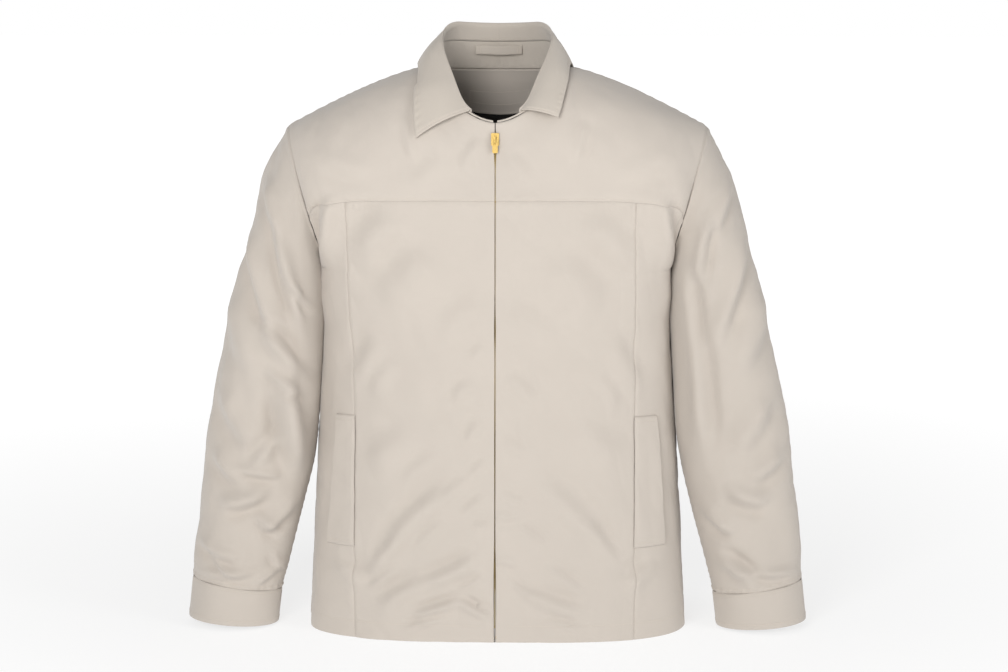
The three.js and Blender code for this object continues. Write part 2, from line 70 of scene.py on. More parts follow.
def add(tree, kind, inputs=None, **settings):
    """A new node with its settings; each input is given a value or another node's output."""
    made = tree.nodes.new(kind)
    for name, value in settings.items():
        setattr(made, name, value)
    for name, value in (inputs or {}).items():
        if isinstance(value, bpy.types.NodeSocket):
            tree.links.new(value, made.inputs[name])
        else:
            made.inputs[name].default_value = value
    return made


def new_material(name):
    material = bpy.data.materials.new(name)
    material.use_nodes = True
    tree = material.node_tree
    tree.nodes.clear()
    shader = add(tree, "ShaderNodeBsdfPrincipled")
    add(tree, "ShaderNodeOutputMaterial", {"Surface": shader.outputs["BSDF"]})
    return material, tree, shader


def tinted(tree, colour, dark, light, amount):
    """The colour made darker or lighter as amount goes from 0 to 1."""
    base = linear(colour)
    shades = [[c * k for c in base[:3]] + [1] for k in (dark, light)]
    return add(tree, "ShaderNodeMix", {"Factor": amount, "A": shades[0], "B": shades[1]},
               data_type="RGBA").outputs["Result"]


def woven(name, colour, rib, diagonal=True, roughness=0.9, sheen=0.3, depth=0.00022):
    """Woven cloth whose ribs are rib metres apart."""
    material, tree, shader = new_material(name)
    weave = add(tree, "ShaderNodeTexCoord").outputs["UV"]
    # A band wave repeats every 0.314 m at scale 1, and every 0.628 m along a diagonal.
    ribs = add(tree, "ShaderNodeTexWave", {
        "Vector": weave, "Scale": (0.628 if diagonal else 0.314) / rib, "Distortion": 0.6,
        "Detail": 1, "Detail Scale": 0.5,
    }, wave_type="BANDS", bands_direction="DIAGONAL" if diagonal else "Y")
    slubs = add(tree, "ShaderNodeMapping", {"Vector": weave, "Scale": (90, 1400, 1)})
    thread = add(tree, "ShaderNodeTexNoise", {"Vector": slubs.outputs[0], "Scale": 1, "Detail": 2})
    cloud = add(tree, "ShaderNodeTexNoise", {"Vector": weave, "Scale": 14, "Detail": 4, "Roughness": 0.6})
    height = add(tree, "ShaderNodeMath", {0: ribs.outputs["Fac"], 1: thread.outputs["Fac"]},
                 operation="ADD")
    tone = add(tree, "ShaderNodeMath", {0: height.outputs[0], 1: 0.25, 2: 0.0}, operation="MULTIPLY_ADD")
    both = add(tree, "ShaderNodeMath", {0: cloud.outputs["Fac"], 1: 0.55, 2: tone.outputs[0]},
               operation="MULTIPLY_ADD")
    shader.inputs["Roughness"].default_value = roughness
    shader.inputs["Specular IOR Level"].default_value = 0.2
    shader.inputs["Sheen Weight"].default_value = sheen
    shader.inputs["Sheen Roughness"].default_value = 0.55
    tree.links.new(tinted(tree, colour, 0.93, 1.06, both.outputs[0]), shader.inputs["Base Color"])
    bump = add(tree, "ShaderNodeBump", {"Height": height.outputs[0], "Strength": 0.45, "Distance": depth})
    tree.links.new(bump.outputs["Normal"], shader.inputs["Normal"])
    return material


def antiqued_brass(name, colour, worn):
    """Cast brass, darkened and then rubbed back to worn brightness."""
    material, tree, shader = new_material(name)
    place = add(tree, "ShaderNodeTexCoord").outputs["Object"]
    patina = add(tree, "ShaderNodeTexNoise", {
        "Vector": place, "Scale": 900, "Detail": 5, "Roughness": 0.65})
    grain = add(tree, "ShaderNodeTexNoise", {"Vector": place, "Scale": 6000, "Detail": 2})
    rough = add(tree, "ShaderNodeMapRange", {"Value": patina.outputs["Fac"], "To Min": 0.26, "To Max": 0.5})
    shader.inputs["Metallic"].default_value = 1
    tree.links.new(tinted(tree, colour, 0.4, worn, patina.outputs["Fac"]), shader.inputs["Base Color"])
    tree.links.new(rough.outputs["Result"], shader.inputs["Roughness"])
    bump = add(tree, "ShaderNodeBump", {
        "Height": grain.outputs["Fac"], "Strength": 0.25, "Distance": 0.00006})
    tree.links.new(bump.outputs["Normal"], shader.inputs["Normal"])
    return material


TWILL_RIB = 0.0011
SHELL = woven("cotton_twill_stone_woven", "#c4bbb1", TWILL_RIB)
# The sleeve copy of the twill is the shell colour made a little darker: painted shade.
SLEEVE = woven("cotton_twill_stone_sleeve_painted_shade", "#c1b8ae", TWILL_RIB)
COLLAR = woven("cotton_twill_stone_collar_woven", "#c4bbb0", TWILL_RIB)
# The facing copy of the twill is the shell colour made darker still: painted shade for the inside of the
# neck and front edges.
FACING = woven("cotton_twill_stone_facing_painted_shade", "#bfb6ac", TWILL_RIB)
LINING = woven("polyester_satin_dark_woven", "#1e1b18", 0.0005, False, 0.42, 0.15, 0.00008)
POCKETING = woven("cotton_pocketing_plain_woven", "#8d857b", 0.0008, False)
TAPE = woven("polyester_zip_tape_herringbone_woven", "#a99f92", 0.0009)
THREAD = woven("polyester_sewing_thread_twisted", "#cdc3b7", 0.0006, True, 0.6, 0.1)
BRASS = antiqued_brass("brass_antiqued_die_cast", "#c9ab66", 1.35)
TEETH = antiqued_brass("brass_antiqued_pressed_teeth", "#a8915c", 1.2)


# ---- Body surface ----
# The filled-out body that shell, facings and linings lie on. Column 0 is the centre and 1 the side
# seam or armhole; row 0 is the hem, 1 the yoke seam and 2 the neckline and shoulder seam.
HEM_HALF_WIDTH = 237
CHEST_HALF_WIDTH = 211
ARMHOLE_BOTTOM = 455
SHOULDER_HALF_WIDTH = 258
SHOULDER_TIP = 624
ARMHOLE_DEPTH = 68
NECK_HALF_WIDTH = 88
NECK_SIDE = 697
FRONT_NECK = 638
BACK_NECK = 688
YOKE_SEAM = 543
YOKE_DROP = 24
NECK_COLUMN = 0.25
ARMHOLE_MIDDLE = (SHOULDER_TIP + ARMHOLE_BOTTOM) / 2
ARMHOLE_HALF = (SHOULDER_TIP - ARMHOLE_BOTTOM) / 2


def mix(a, b, t):
    return a + (b - a) * t


def smooth(x, low, high):
    t = np.clip((x - low) / (high - low), 0, 1)
    return t * t * (3 - 2 * t)


def bell(distance, width):
    return np.exp(-((distance / width) ** 2))


def unit(vectors):
    return vectors / np.maximum(np.linalg.norm(vectors, axis=-1, keepdims=True), 1e-9)


def armhole_at(height):
    rise = np.clip((height - ARMHOLE_MIDDLE) / ARMHOLE_HALF, -1, 1)
    return mix(CHEST_HALF_WIDTH, SHOULDER_HALF_WIDTH, (rise + 1) / 2), ARMHOLE_DEPTH * np.sqrt(1 - rise**2)


def seam_height(column):
    return YOKE_SEAM - YOKE_DROP * column**3


def section_power(height):
    """The body's rounded-square section: squarer at the hem than at the chest."""
    return 2 / mix(3.0, 2.4, smooth(height, 0, 260))


def lower_body(face, column, height):
    angle = column * np.pi / 2
    across = np.maximum(np.sin(angle), 0) ** section_power(height)
    ahead = np.maximum(np.cos(angle), 0) ** section_power(height)
    arm_x, arm_depth = armhole_at(height)
    low = height < ARMHOLE_BOTTOM
    x = np.where(low, mix(HEM_HALF_WIDTH, CHEST_HALF_WIDTH, height / ARMHOLE_BOTTOM), arm_x)
    if face == FRONT:
        centre = mix(131, 101, height / FRONT_NECK)
    else:
        centre = mix(131, 112, np.clip(height / YOKE_SEAM, 0, 1) ** 1.6)
    # Only the sewn edge follows the armhole's ellipse; beside it the body swells out gently.
    eased = ARMHOLE_DEPTH * smooth(height, 300, 575)
    depth = mix(mix(eased, np.where(low, 0, arm_depth), column**10), centre, ahead)
    return np.stack([x * across, face * depth, height + 0 * x], -1)


def neckline(face, share):
    across = np.sin(share * np.pi / 2)
    rest = np.cos(share * np.pi / 2)
    depth, low = (101, FRONT_NECK) if face == FRONT else (68, BACK_NECK)
    # Seen from the front, the neckline runs down to the zip in a shallow V.
    height = mix(low, NECK_SIDE, np.maximum(across, 0) ** 1.7 if face == FRONT else 1 - rest)
    return np.stack([NECK_HALF_WIDTH * across, face * depth * rest, height], -1)


def shoulder_seam(share):
    fall = (NECK_SIDE - SHOULDER_TIP) * np.maximum(share, 0) ** 1.3
    return np.stack([mix(NECK_HALF_WIDTH, SHOULDER_HALF_WIDTH, share), 0 * share, NECK_SIDE - fall], -1)


def yoke_curve(face, column, t):
    seam = seam_height(column)
    start = lower_body(face, column, seam)
    rising = unit(start - lower_body(face, column, seam - 6))
    at_neck = np.minimum(1, column / NECK_COLUMN)
    over_shoulder = np.clip((column - NECK_COLUMN) / (1 - NECK_COLUMN), 0, 1)
    end = np.where((column <= NECK_COLUMN)[..., None], neckline(face, at_neck),
                   shoulder_seam(over_shoulder))
    lean = 30 / FRONT_NECK if face == FRONT else 0.35
    arrive = unit(np.stack([0 * at_neck, -face * mix(lean, 1, at_neck), mix(1, 0, at_neck)], -1))
    reach = np.linalg.norm(end - start, axis=-1, keepdims=True) * 1.25
    t = t[..., None]
    return (start * (2 * t**3 - 3 * t**2 + 1) + rising * (t**3 - 2 * t**2 + t) * reach
            + end * (3 * t**2 - 2 * t**3) + arrive * (t**3 - t**2) * reach)


def yoke_surface(face, column, t):
    low = math.asin((seam_height(1) - ARMHOLE_MIDDLE) / ARMHOLE_HALF)
    height = ARMHOLE_MIDDLE + ARMHOLE_HALF * np.sin(mix(low, np.pi / 2, t))
    arm_x, arm_depth = armhole_at(height)
    slack = np.stack([arm_x, face * arm_depth, height], -1) - yoke_curve(face, np.ones_like(column), t)
    return yoke_curve(face, column, t) + slack * (column**4)[..., None]


def body(face, column, row):
    column, row = np.broadcast_arrays(np.asarray(column, float), np.asarray(row, float))
    share = np.minimum(np.abs(column), 1)
    below = lower_body(face, share, np.minimum(row, 1) * seam_height(share))
    above = yoke_surface(face, share, np.clip(row - 1, 0, 1))
    point = np.where((row <= 1)[..., None], below, above)
    point[..., 0] *= np.where(column < 0, RIGHT, LEFT)
    return point


def body_normal(face, column, row):
    small = 1e-3
    across = body(face, column + small, row) - body(face, column - small, row)
    along = body(face, column, row + small) - body(face, column, row - small)
    normal = unit(np.cross(across, along))
    away = body(face, column, row)
    away[..., 2] = np.maximum(0, away[..., 2] - ARMHOLE_MIDDLE)
    return normal * np.where((normal * away).sum(-1, keepdims=True) < 0, -1, 1)


# ---- Drape ----
# Folds are pressed into the body as x, z of each end, half width, height and bow, all in
# millimetres. A fold is a soft ridge with a hollow on one side, and dies away at both ends.
FOLD_RELIEF = 2.1
FRONT_FOLDS = [
    (-56, 190, -137, 104, 12, 3.6, 6), (-28, 322, -51, 297, 7, 1.8, 2), (-17, 273, -34, 249, 6, 1.7, 2),
    (-142, 373, -167, 317, 15, 2.6, 0), (-23, 105, -92, 70, 9, 3.4, -3), (-88, 72, -140, 40, 10, 3.2, 3),
    (-44, 51, -98, 32, 6, 3.2, 0), (-44, 51, -6, 30, 6, -2.6, 0), (-8, 147, -27, 144, 5, 1.4, 0),
    (-160, 70, -200, 88, 12, 2.4, 0), (-118, 524, -165, 464, 22, 3.4, 4), (-74, 476, -128, 412, 26, 3.6, 5),
    (-20, 420, -60, 380, 16, 1.6, 3), (-12, 366, -30, 352, 6, 1.3, 0), (-100, 250, -150, 215, 18, 2.0, 5),
    (52, 200, 132, 108, 15, -2.8, -5), (0, 156, 27, 157, 5, 1.4, 0), (0, 104, 27, 98, 5, 1.6, 0),
    (38, 62, 110, 36, 9, -2.4, 2), (110, 520, 160, 462, 22, -3.0, -4), (72, 470, 122, 406, 24, -3.0, -4),
    (16, 330, 44, 300, 9, -1.7, -2), (12, 252, 34, 232, 7, -1.5, -1), (140, 372, 168, 312, 15, -2.2, 0),
    (160, 66, 198, 90, 12, -2.2, 0), (20, 410, 62, 372, 16, -1.4, -3), (98, 262, 150, 220, 18, -1.8, -4),
    (-30, 205, -64, 176, 5, 1.4, 3), (-62, 150, -96, 118, 5, 1.5, 2), (-112, 128, -150, 84, 8, 1.8, 4),
    (-12, 182, -40, 160, 4, 1.3, 1), (-14, 84, -48, 66, 4, 1.5, -2), (-70, 232, -112, 196, 8, 1.4, 3),
    (-60, 30, -110, 14, 5, 1.8, 2), (-118, 96, -158, 62, 5, 1.3, -2), (-10, 226, -30, 208, 4, 1.2, 1),
    (30, 146, 62, 118, 5, -1.3, -2), (18, 76, 52, 56, 5, -1.4, 2), (64, 92, 104, 60, 6, -1.5, -3),
    (110, 150, 146, 96, 8, -1.5, -3), (10, 186, 36, 170, 4, -1.1, -1), (60, 28, 104, 14, 5, -1.3, -2),
    (-14, 618, -40, 580, 9, 1.3, 2), (14, 600, 40, 566, 9, -1.2, -2), (-60, 590, -96, 556, 14, 1.4, 3),
    (-110, 640, -96, 590, 6, 1.6, 2), (108, 640, 96, 590, 6, -1.5, -2), (-210, 600, -150, 580, 14, 1.6, 4),
    (208, 600, 150, 578, 14, -1.6, -4), (-120, 346, -152, 300, 9, 1.2, 3), (120, 330, 150, 286, 9, -1.1, -3),
]
# The breast turns sharply to the side below each yoke seam, and leaves a hollow by the armhole.
BREAST_FOLDS = [
    (-201, 545, -211, 470, 10, 4.2, 1), (-210, 480, -219, 392, 11, 3.4, 0),
    (201, 545, 211, 470, 10, -3.8, -1), (210, 480, 219, 392, 11, -3.0, 0),
]
BACK_FOLDS = [
    (-60, 500, -170, 430, 26, 3.4, 8), (64, 505, 168, 424, 28, -3.2, -8), (-30, 420, -120, 330, 30, 2.4, 6),
    (40, 400, 130, 318, 30, -2.2, -6), (-20, 250, -150, 205, 20, 2.6, 5), (30, 238, 156, 190, 20, -2.4, -5),
    (-60, 130, -160, 70, 18, 2.8, 4), (50, 120, 150, 58, 18, -2.6, -4), (-10, 70, -80, 34, 12, 2.0, 2),
    (-190, 470, -206, 360, 14, 3.0, 0), (190, 470, 206, 360, 14, -2.6, 0), (4, 330, -6, 150, 16, 1.6, 3),
]


def fold(x, z, shape):
    x0, z0, x1, z1, width, height, bow = shape
    length = math.hypot(x1 - x0, z1 - z0)
    along = ((x - x0) * (x1 - x0) + (z - z0) * (z1 - z0)) / length**2
    off = ((x - x0) * (z1 - z0) - (z - z0) * (x1 - x0)) / length - 4 * bow * along * (1 - along)
    if height < 0:
        off = -off
    taper = smooth(along, -0.15, 0.3) * (1 - smooth(along, 0.65, 1.15))
    ridge = bell(off, width)
    hollow = bell(off - 1.4 * width, 0.8 * width)
    return FOLD_RELIEF * abs(height) * taper * (ridge - 0.75 * hollow)


def ripple(points, length, seed):
    """Uneven waves about length long, longer up and down than across."""
    random = np.random.default_rng(seed)
    total = 0
    for _ in range(7):
        direction = random.normal(size=3) * (1, 1, 0.45)
        direction *= 2 * np.pi * random.uniform(0.7, 1.4) / (length * np.linalg.norm(direction))
        total = total + np.sin(points @ direction + random.uniform(0, 2 * np.pi))
    return total / math.sqrt(7)


def crumple(points, length, seed):
    """Faint sharp creases between smooth pillows of cloth."""
    large = np.minimum(np.abs(ripple(points, length, seed)), 1)
    return large + 0.5 * np.minimum(np.abs(ripple(points, length * 0.45, seed + 1)), 1) - 0.8


def drape(face, column, row):
    """How far the cloth stands off the plain body, with its folds."""
    point = body(face, column, row)
    x, z = point[..., 0], point[..., 2]
    share = np.abs(column)
    folds = FRONT_FOLDS if face == FRONT else BACK_FOLDS
    pressed = sum(fold(x, z, shape) for shape in folds)
    if face == FRONT:
        turned_side = sum(fold(x, z, shape) for shape in BREAST_FOLDS)
        pressed = pressed + turned_side * (1 - smooth(row, 1.0, 1.15))
        # Beside the zip its tapes hold the cloth out.
        pressed = np.maximum(pressed, -1.2 - 12 * smooth(np.abs(x), 14, 30))
    pressed = pressed * (1 - smooth(share, 0.93, 1.0)) * (1 - smooth(row, 1.75, 1.95))
    by_armhole = smooth(share, 0.9, 1.0) * smooth(z, 400, 450)
    waves = 1.2 * ripple(point, 110, 3) + 0.3 * ripple(point, 44, 5) + 1.1 * crumple(point, 90, 9)
    return pressed + waves * (1 - by_armhole) * (1 - smooth(row, 1.8, 1.98))


# ---- Pieces of cloth ----
# Each piece is a grid with cells of about 3 mm, finer at its edges, where seams pull it in and its
# allowances puff up beside them. Turned edges roll over with a small radius.
TURN_RADIUS = 0.75
CLOTH = 0.0007


def graded(start, end, cell):
    """Positions from start to end, closer together at both ends."""
    count = max(4, round(abs(end - start) / cell))
    t = np.linspace(0, 1, count + 1)
    return mix(start, end, t - 0.6 * np.sin(2 * np.pi * t) / (2 * np.pi))


def with_turn(depth, end, cell, radius=TURN_RADIUS):
    """Positions from a turned-in edge, round its roll and on to end."""
    roll = np.pi * radius
    return np.concatenate([np.linspace(-depth - roll, -roll, max(3, round(depth / cell)))[:-1],
                           np.linspace(-roll, 0, 7)[:-1], graded(0, end, cell)])


def turned(distance, radius=TURN_RADIUS):
    """Place in from the edge and layer for a distance measured along the turned cloth."""
    roll = np.clip(-distance / radius, 0, np.pi)
    inside = np.maximum(-distance - np.pi * radius, 0)
    return radius * (1 - np.sin(roll)) + np.maximum(distance, 0) + inside, -radius * (1 - np.cos(roll))


def seam(distance, along, phase, depth=0.8, puff=0.45):
    ditch = -depth * bell(distance, 1.5)
    puckers = 0.65 + 0.7 * np.sin(along / 2.1 + 2.4 * np.sin(along / 17 + phase) + phase)
    return ditch + puff * puckers * bell(distance - 6, 4.2)


def outward(points):
    away = points.copy()
    away[..., 2] = np.maximum(0, away[..., 2] - ARMHOLE_MIDDLE)
    return away


def in_scene(name, data):
    made = bpy.data.objects.new(name, data)
    bpy.context.scene.collection.objects.link(made)
    return made


def shaped(name, steps):
    """A mesh made by a function that works on a bmesh."""
    bm = bmesh.new()
    steps(bm)
    mesh = bpy.data.meshes.new(name)
    bm.to_mesh(mesh)
    bm.free()
    return mesh


def finished(name, mesh, material):
    """A smooth-shaded piece in one material."""
    mesh.polygons.foreach_set("use_smooth", np.ones(len(mesh.polygons), bool))
    mesh.materials.append(material)
    piece = in_scene(name, mesh)
    return piece


def cloth(name, stands_for, surface, across, up, material, facing=outward, inside=False,
          thickness=CLOTH):
    """A grid piece: surface gives its points in millimetres for places across and up the cloth.

    It takes the place of the plain solid stands_for. Its right side faces as facing gives, or the
    other way if it is seen from the inside.
    """
    mesh = shaped(name, lambda bm: bmesh.ops.create_grid(
        bm, x_segments=len(across) - 1, y_segments=len(up) - 1, size=0.5))
    flat = np.empty(len(mesh.vertices) * 3)
    mesh.vertices.foreach_get("co", flat)
    flat = flat.reshape(-1, 3) + 0.5
    u = across[np.rint(flat[:, 0] * (len(across) - 1)).astype(int)]
    v = up[np.rint(flat[:, 1] * (len(up) - 1)).astype(int)]
    points = surface(u, v)
    mesh.vertices.foreach_set("co", (points * MM).ravel())
    corners = np.empty(len(mesh.loops), np.int32)
    mesh.loops.foreach_get("vertex_index", corners)
    layer = mesh.uv_layers.new(name="weave")
    layer.data.foreach_set("uv", (np.stack([u, v], 1) * MM)[corners].ravel())
    mesh.update()
    normals = np.empty(len(mesh.vertices) * 3)
    mesh.vertex_normals.foreach_get("vector", normals)
    if ((normals.reshape(-1, 3) * unit(facing(points))).sum() < 0) != inside:
        mesh.flip_normals()
    piece = finished(name, mesh, material)
    solid = piece.modifiers.new("cloth", "SOLIDIFY")
    solid.thickness = thickness
    solid.offset = -1
    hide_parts(stands_for)
    return piece


def go_with_torso(piece):
    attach(piece, "torso")


def go_with_front(side, piece):
    if side == LEFT:
        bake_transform(piece)
    else:
        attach(piece, "torso")


def go_with_sleeve(piece):
    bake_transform(piece)


# ---- Stitching ----
# Rows of lockstitch in heavy polyester thread: each stitch is a short, flattened bead of thread
# lying on the cloth, with a small gap to the next.
STITCH = 2.5
STITCH_PITCH = 3.2


def bead_steps(bm):
    bmesh.ops.create_uvsphere(bm, u_segments=6, v_segments=4, radius=1)
    bmesh.ops.rotate(bm, verts=bm.verts, cent=(0, 0, 0), matrix=Matrix.Rotation(np.pi / 2, 3, "Y"))
    bmesh.ops.scale(bm, verts=bm.verts, vec=(STITCH / 2 * MM, 0.32 * MM, 0.3 * MM))


bead = shaped("stitch_bead", bead_steps)


def placed(point, along, normal):
    """A matrix that lays +X along a line and +Z off the surface, at a point in millimetres."""
    x = Vector(along).normalized()
    y = Vector(normal).cross(x).normalized()
    z = x.cross(y)
    turn = Matrix((x, y, z)).transposed().to_4x4()
    return Matrix.Translation(Vector(point) * MM) @ turn


def copies(name, template, places, material):
    """One mesh of many copies of a template, one at each place."""
    def steps(bm):
        for place in places:
            one = template.copy()
            one.transform(place)
            bm.from_mesh(one)
            bpy.data.meshes.remove(one)
    return finished(name, shaped(name, steps), material)


def stitch_places(surface, across, up, pitch=STITCH_PITCH):
    """Places for stitches along a path on a surface, given as places across and up the cloth."""
    dense = np.linspace(0, 1, 900)
    knots = np.linspace(0, 1, len(across))
    u = np.interp(dense, knots, across)
    v = np.interp(dense, knots, up)
    points = surface(u, v)
    length = np.concatenate([[0], np.cumsum(np.linalg.norm(np.diff(points, axis=0), axis=1))])
    count = max(1, int(length[-1] / pitch))
    at = (np.arange(count) + 0.5) / count * length[-1]
    u, v = np.interp(at, length, u), np.interp(at, length, v)
    middle = surface(u, v)
    ahead = np.interp(np.minimum(at + 1, length[-1]), length, np.arange(900))
    behind = np.interp(np.maximum(at - 1, 0), length, np.arange(900))
    along = np.stack([np.interp(ahead, np.arange(900), points[:, i])
                      - np.interp(behind, np.arange(900), points[:, i]) for i in range(3)], 1)
    normal = np.cross(surface(u + 0.4, v) - surface(u - 0.4, v), surface(u, v + 0.4) - surface(u, v - 0.4))
    return [placed(p, a, n) for p, a, n in zip(middle, along, normal)]


# ---- Shell ----
# Yokes, centre panels, side panels and back panels of twill, sewn edge to edge. The hem and the zip
# edges are turned in and topstitched, and the yoke seams are stitched down on the yoke.
PANEL = (184, 543)
SIDE_PANEL = (118, 543)
BACK_PANEL = (292, 543)
YOKE = (262, 165)
HEM_TURN = 20
EDGE_TURN = 8
LEFT_SEAM = 171
RIGHT_SEAM = (174, 184)


def zip_gap(height):
    """Half of the gap between the front edges, which opens at the slider and near the hem."""
    # Height, spread and size of each place where the edges part.
    bumps = ((606, 12, 1.1), (386, 20, 0.5), (60, 50, 0.9), (250, 60, 0.2))
    return 0.45 + sum(size * bell(height - z, spread) for z, spread, size in bumps)


def seam_column(side):
    """The column of the long seam at each row: it runs straight up while the body narrows."""
    def column(row):
        height = np.clip(row, 0, 1) * YOKE_SEAM
        low = mix(HEM_HALF_WIDTH, CHEST_HALF_WIDTH, height / ARMHOLE_BOTTOM)
        width = np.where(height < ARMHOLE_BOTTOM, low, armhole_at(height)[0])
        x = LEFT_SEAM if side == LEFT else mix(*RIGHT_SEAM, smooth(height, 260, 540))
        return np.arcsin((x / width) ** (1 / section_power(height))) * 2 / np.pi
    return column


def at_row(column, row):
    return column(row) if callable(column) else column


def body_surface(face, side, columns, rows, size, seams="", hem=False, edge=False, layer=0):
    """A piece of the body: seams names its sewn edges out of centre, side, low and high."""
    def surface(across, up):
        lift = np.full(np.shape(across), float(layer))
        if hem:
            up, turn = turned(up)
            lift = lift + turn
        if edge:
            across, turn = turned(across)
            lift = lift + turn
        row = mix(*rows, up / size[1])
        column = side * mix(at_row(columns[0], row), at_row(columns[1], row), across / size[0])
        for name, distance, along in (("centre", across, up), ("side", size[0] - across, up),
                                      ("low", up, across), ("high", size[1] - up, across)):
            if name in seams:
                puff = 0.15 if name == "side" and columns[1] == 1 else 0.45
                lift = lift + seam(distance, along, face * 2 + side * 5 + len(name), puff=puff)
        lift = lift + drape(face, column, row)
        point = body(face, column, row) + body_normal(face, column, row) * lift[..., None]
        if face == FRONT:
            from_zip = np.maximum(side * point[..., 0], 0)
            point[..., 0] = side * (from_zip + zip_gap(point[..., 2]) * np.exp(-from_zip / 25))
        if hem:
            point[..., 2] = np.maximum(point[..., 2], 0)
        return point
    return surface


def back_pair(columns, rows, size, seams, layer=0):
    """A piece of the back that runs from one side to the other."""
    def surface(across, up):
        column = mix(-columns, columns, across / size[0])
        row = mix(*rows, up / size[1])
        lift = at_row(layer, up) + drape(BACK, column, row)
        for name, distance, along in (("side", np.minimum(across, size[0] - across), up),
                                      ("low", up, across), ("high", size[1] - up, across)):
            if name in seams:
                lift = lift + seam(distance, along, 3 + len(name))
        return body(BACK, column, row) + body_normal(BACK, column, row) * lift[..., None]
    return surface


CELL = 3.2
TOPSTITCH = 2.4
stitching = {"left_front": [], "torso": []}
for word, side in SIDES:
    long_seam = seam_column(side)
    front = body_surface(FRONT, side, (0, long_seam), (0, 1), PANEL, "side high", hem=True, edge=True)
    panel = cloth(f"{word}_centre_front", f"{word}_front_panel", front,
                  with_turn(EDGE_TURN, PANEL[0], CELL), with_turn(HEM_TURN, PANEL[1], CELL),
                  SHELL)
    go_with_front(side, panel)

    flank = body_surface(FRONT, side, (long_seam, 1), (0, 1), SIDE_PANEL, "centre side high", hem=True)
    panel = cloth(f"{word}_flank", f"{word}_side_panel", flank, graded(0, SIDE_PANEL[0], CELL),
                  with_turn(HEM_TURN, SIDE_PANEL[1], CELL), SHELL)
    go_with_torso(panel)

    yoke = body_surface(FRONT, side, (0, 1), (1, 2), YOKE, "side low high", edge=True)
    piece = cloth(f"{word}_yoke_front", f"{word}_front_yoke", yoke, with_turn(EDGE_TURN, YOKE[0], CELL),
                  graded(0, YOKE[1], CELL), SHELL)
    go_with_front(side, piece)

    rear = body_surface(BACK, side, (0, 1), (0, 1), BACK_PANEL, "centre side high", hem=True)
    panel = cloth(f"{word}_back", f"{word}_back_panel", rear, graded(0, BACK_PANEL[0], CELL),
                  with_turn(HEM_TURN, BACK_PANEL[1], CELL), SHELL)
    go_with_torso(panel)

    group = stitching["left_front" if side == LEFT else "torso"]
    group += stitch_places(front, (3, PANEL[0]), (HEM_TURN, HEM_TURN))
    group += stitch_places(yoke, (2, YOKE[0] - 2), (TOPSTITCH, TOPSTITCH))
    beside_seam = PANEL[0] - TOPSTITCH
    group += stitch_places(front, (beside_seam, beside_seam), (3, PANEL[1] - 2))
    stitching["torso"] += stitch_places(flank, (1, SIDE_PANEL[0] - 1), (HEM_TURN, HEM_TURN))
    stitching["torso"] += stitch_places(rear, (1, BACK_PANEL[0] - 1), (HEM_TURN, HEM_TURN))

BACK_YOKE = (524, 165)
back_yoke = back_pair(1, (1, 2), BACK_YOKE, "side low high")
piece = cloth("yoke_back", "back_yoke", back_yoke, graded(0, BACK_YOKE[0], CELL),
              graded(0, BACK_YOKE[1], CELL), SHELL)
go_with_torso(piece)
stitching["torso"] += stitch_places(back_yoke, (2, BACK_YOKE[0] - 2), (TOPSTITCH, TOPSTITCH))


# ---- Inside ----
# Twill facings behind the front edges and across the back of the neck, dark satin linings that
# hang from them, and plain-woven pocket bags between shell and lining.
FACING_COLUMN = 0.11
BAG_LAYER = -1.9
FACING_LAYER = -3.6
LINING_LAYER = -4.8
LINING_ROWS = (0.03, 1.6)
INSIDE_CELL = 4.2
SATIN = 0.0003
FACING_SIZE = (36, 700)
POUCH_SIZE = (132, 187)
POUCH_COLUMNS = (0.25, 0.655)
POUCH_HEIGHTS = (90, 277)
for word, side in SIDES:
    inner = body_surface(FRONT, side, (0.0085, FACING_COLUMN), (0.005, 1.975), FACING_SIZE,
                         layer=FACING_LAYER)
    piece = cloth(f"{word}_edge_facing", f"{word}_front_facing", inner, graded(0, FACING_SIZE[0], 3),
                  graded(0, FACING_SIZE[1], INSIDE_CELL), FACING, inside=True)
    go_with_front(side, piece)
    for face, name, start, width, area in (
            (FRONT, "front", FACING_COLUMN, 0.27, 0.136), (BACK, "back", 0, 0.3, 0.17)):
        size = (262, 640)
        inner = body_surface(face, side, (start, 0.985), LINING_ROWS, size, layer=LINING_LAYER)
        piece = cloth(f"{word}_{name}_satin", f"{word}_{name}_lining", inner,
                      graded(0, size[0], INSIDE_CELL), graded(0, size[1], INSIDE_CELL), LINING,
                      inside=True, thickness=SATIN)
        if face == FRONT:
            go_with_front(side, piece)
        else:
            go_with_torso(piece)
    pouch_rows = [height / YOKE_SEAM for height in POUCH_HEIGHTS]
    bag = body_surface(FRONT, side, POUCH_COLUMNS, pouch_rows, POUCH_SIZE, layer=BAG_LAYER)
    piece = cloth(f"{word}_pocket_pouch", f"{word}_pocket_bag", bag, graded(0, POUCH_SIZE[0], INSIDE_CELL),
                  graded(0, POUCH_SIZE[1], INSIDE_CELL), POCKETING)
    go_with_front(side, piece)

NECK_FACING = (214, 54)


def facing_layer(up):
    return mix(LINING_LAYER, -2.4, smooth(up, 36, NECK_FACING[1]))


neck_facing = back_pair(0.365, (1.608, 1.998), NECK_FACING, "low", facing_layer)
piece = cloth("neck_facing", "back_neck_facing", neck_facing, graded(0, NECK_FACING[0], 4),
              graded(0, NECK_FACING[1], 3), FACING, inside=True)
go_with_torso(piece)


# ---- Pockets ----
# Upright welts of folded twill, sewn into the long seams and caught down at both ends; the open
# edge faces the side and stands off the front a little.
WELT = (38, 163)
WELT_BOTTOM = 114
WELT_TURN = 14
WELT_STITCH = 6


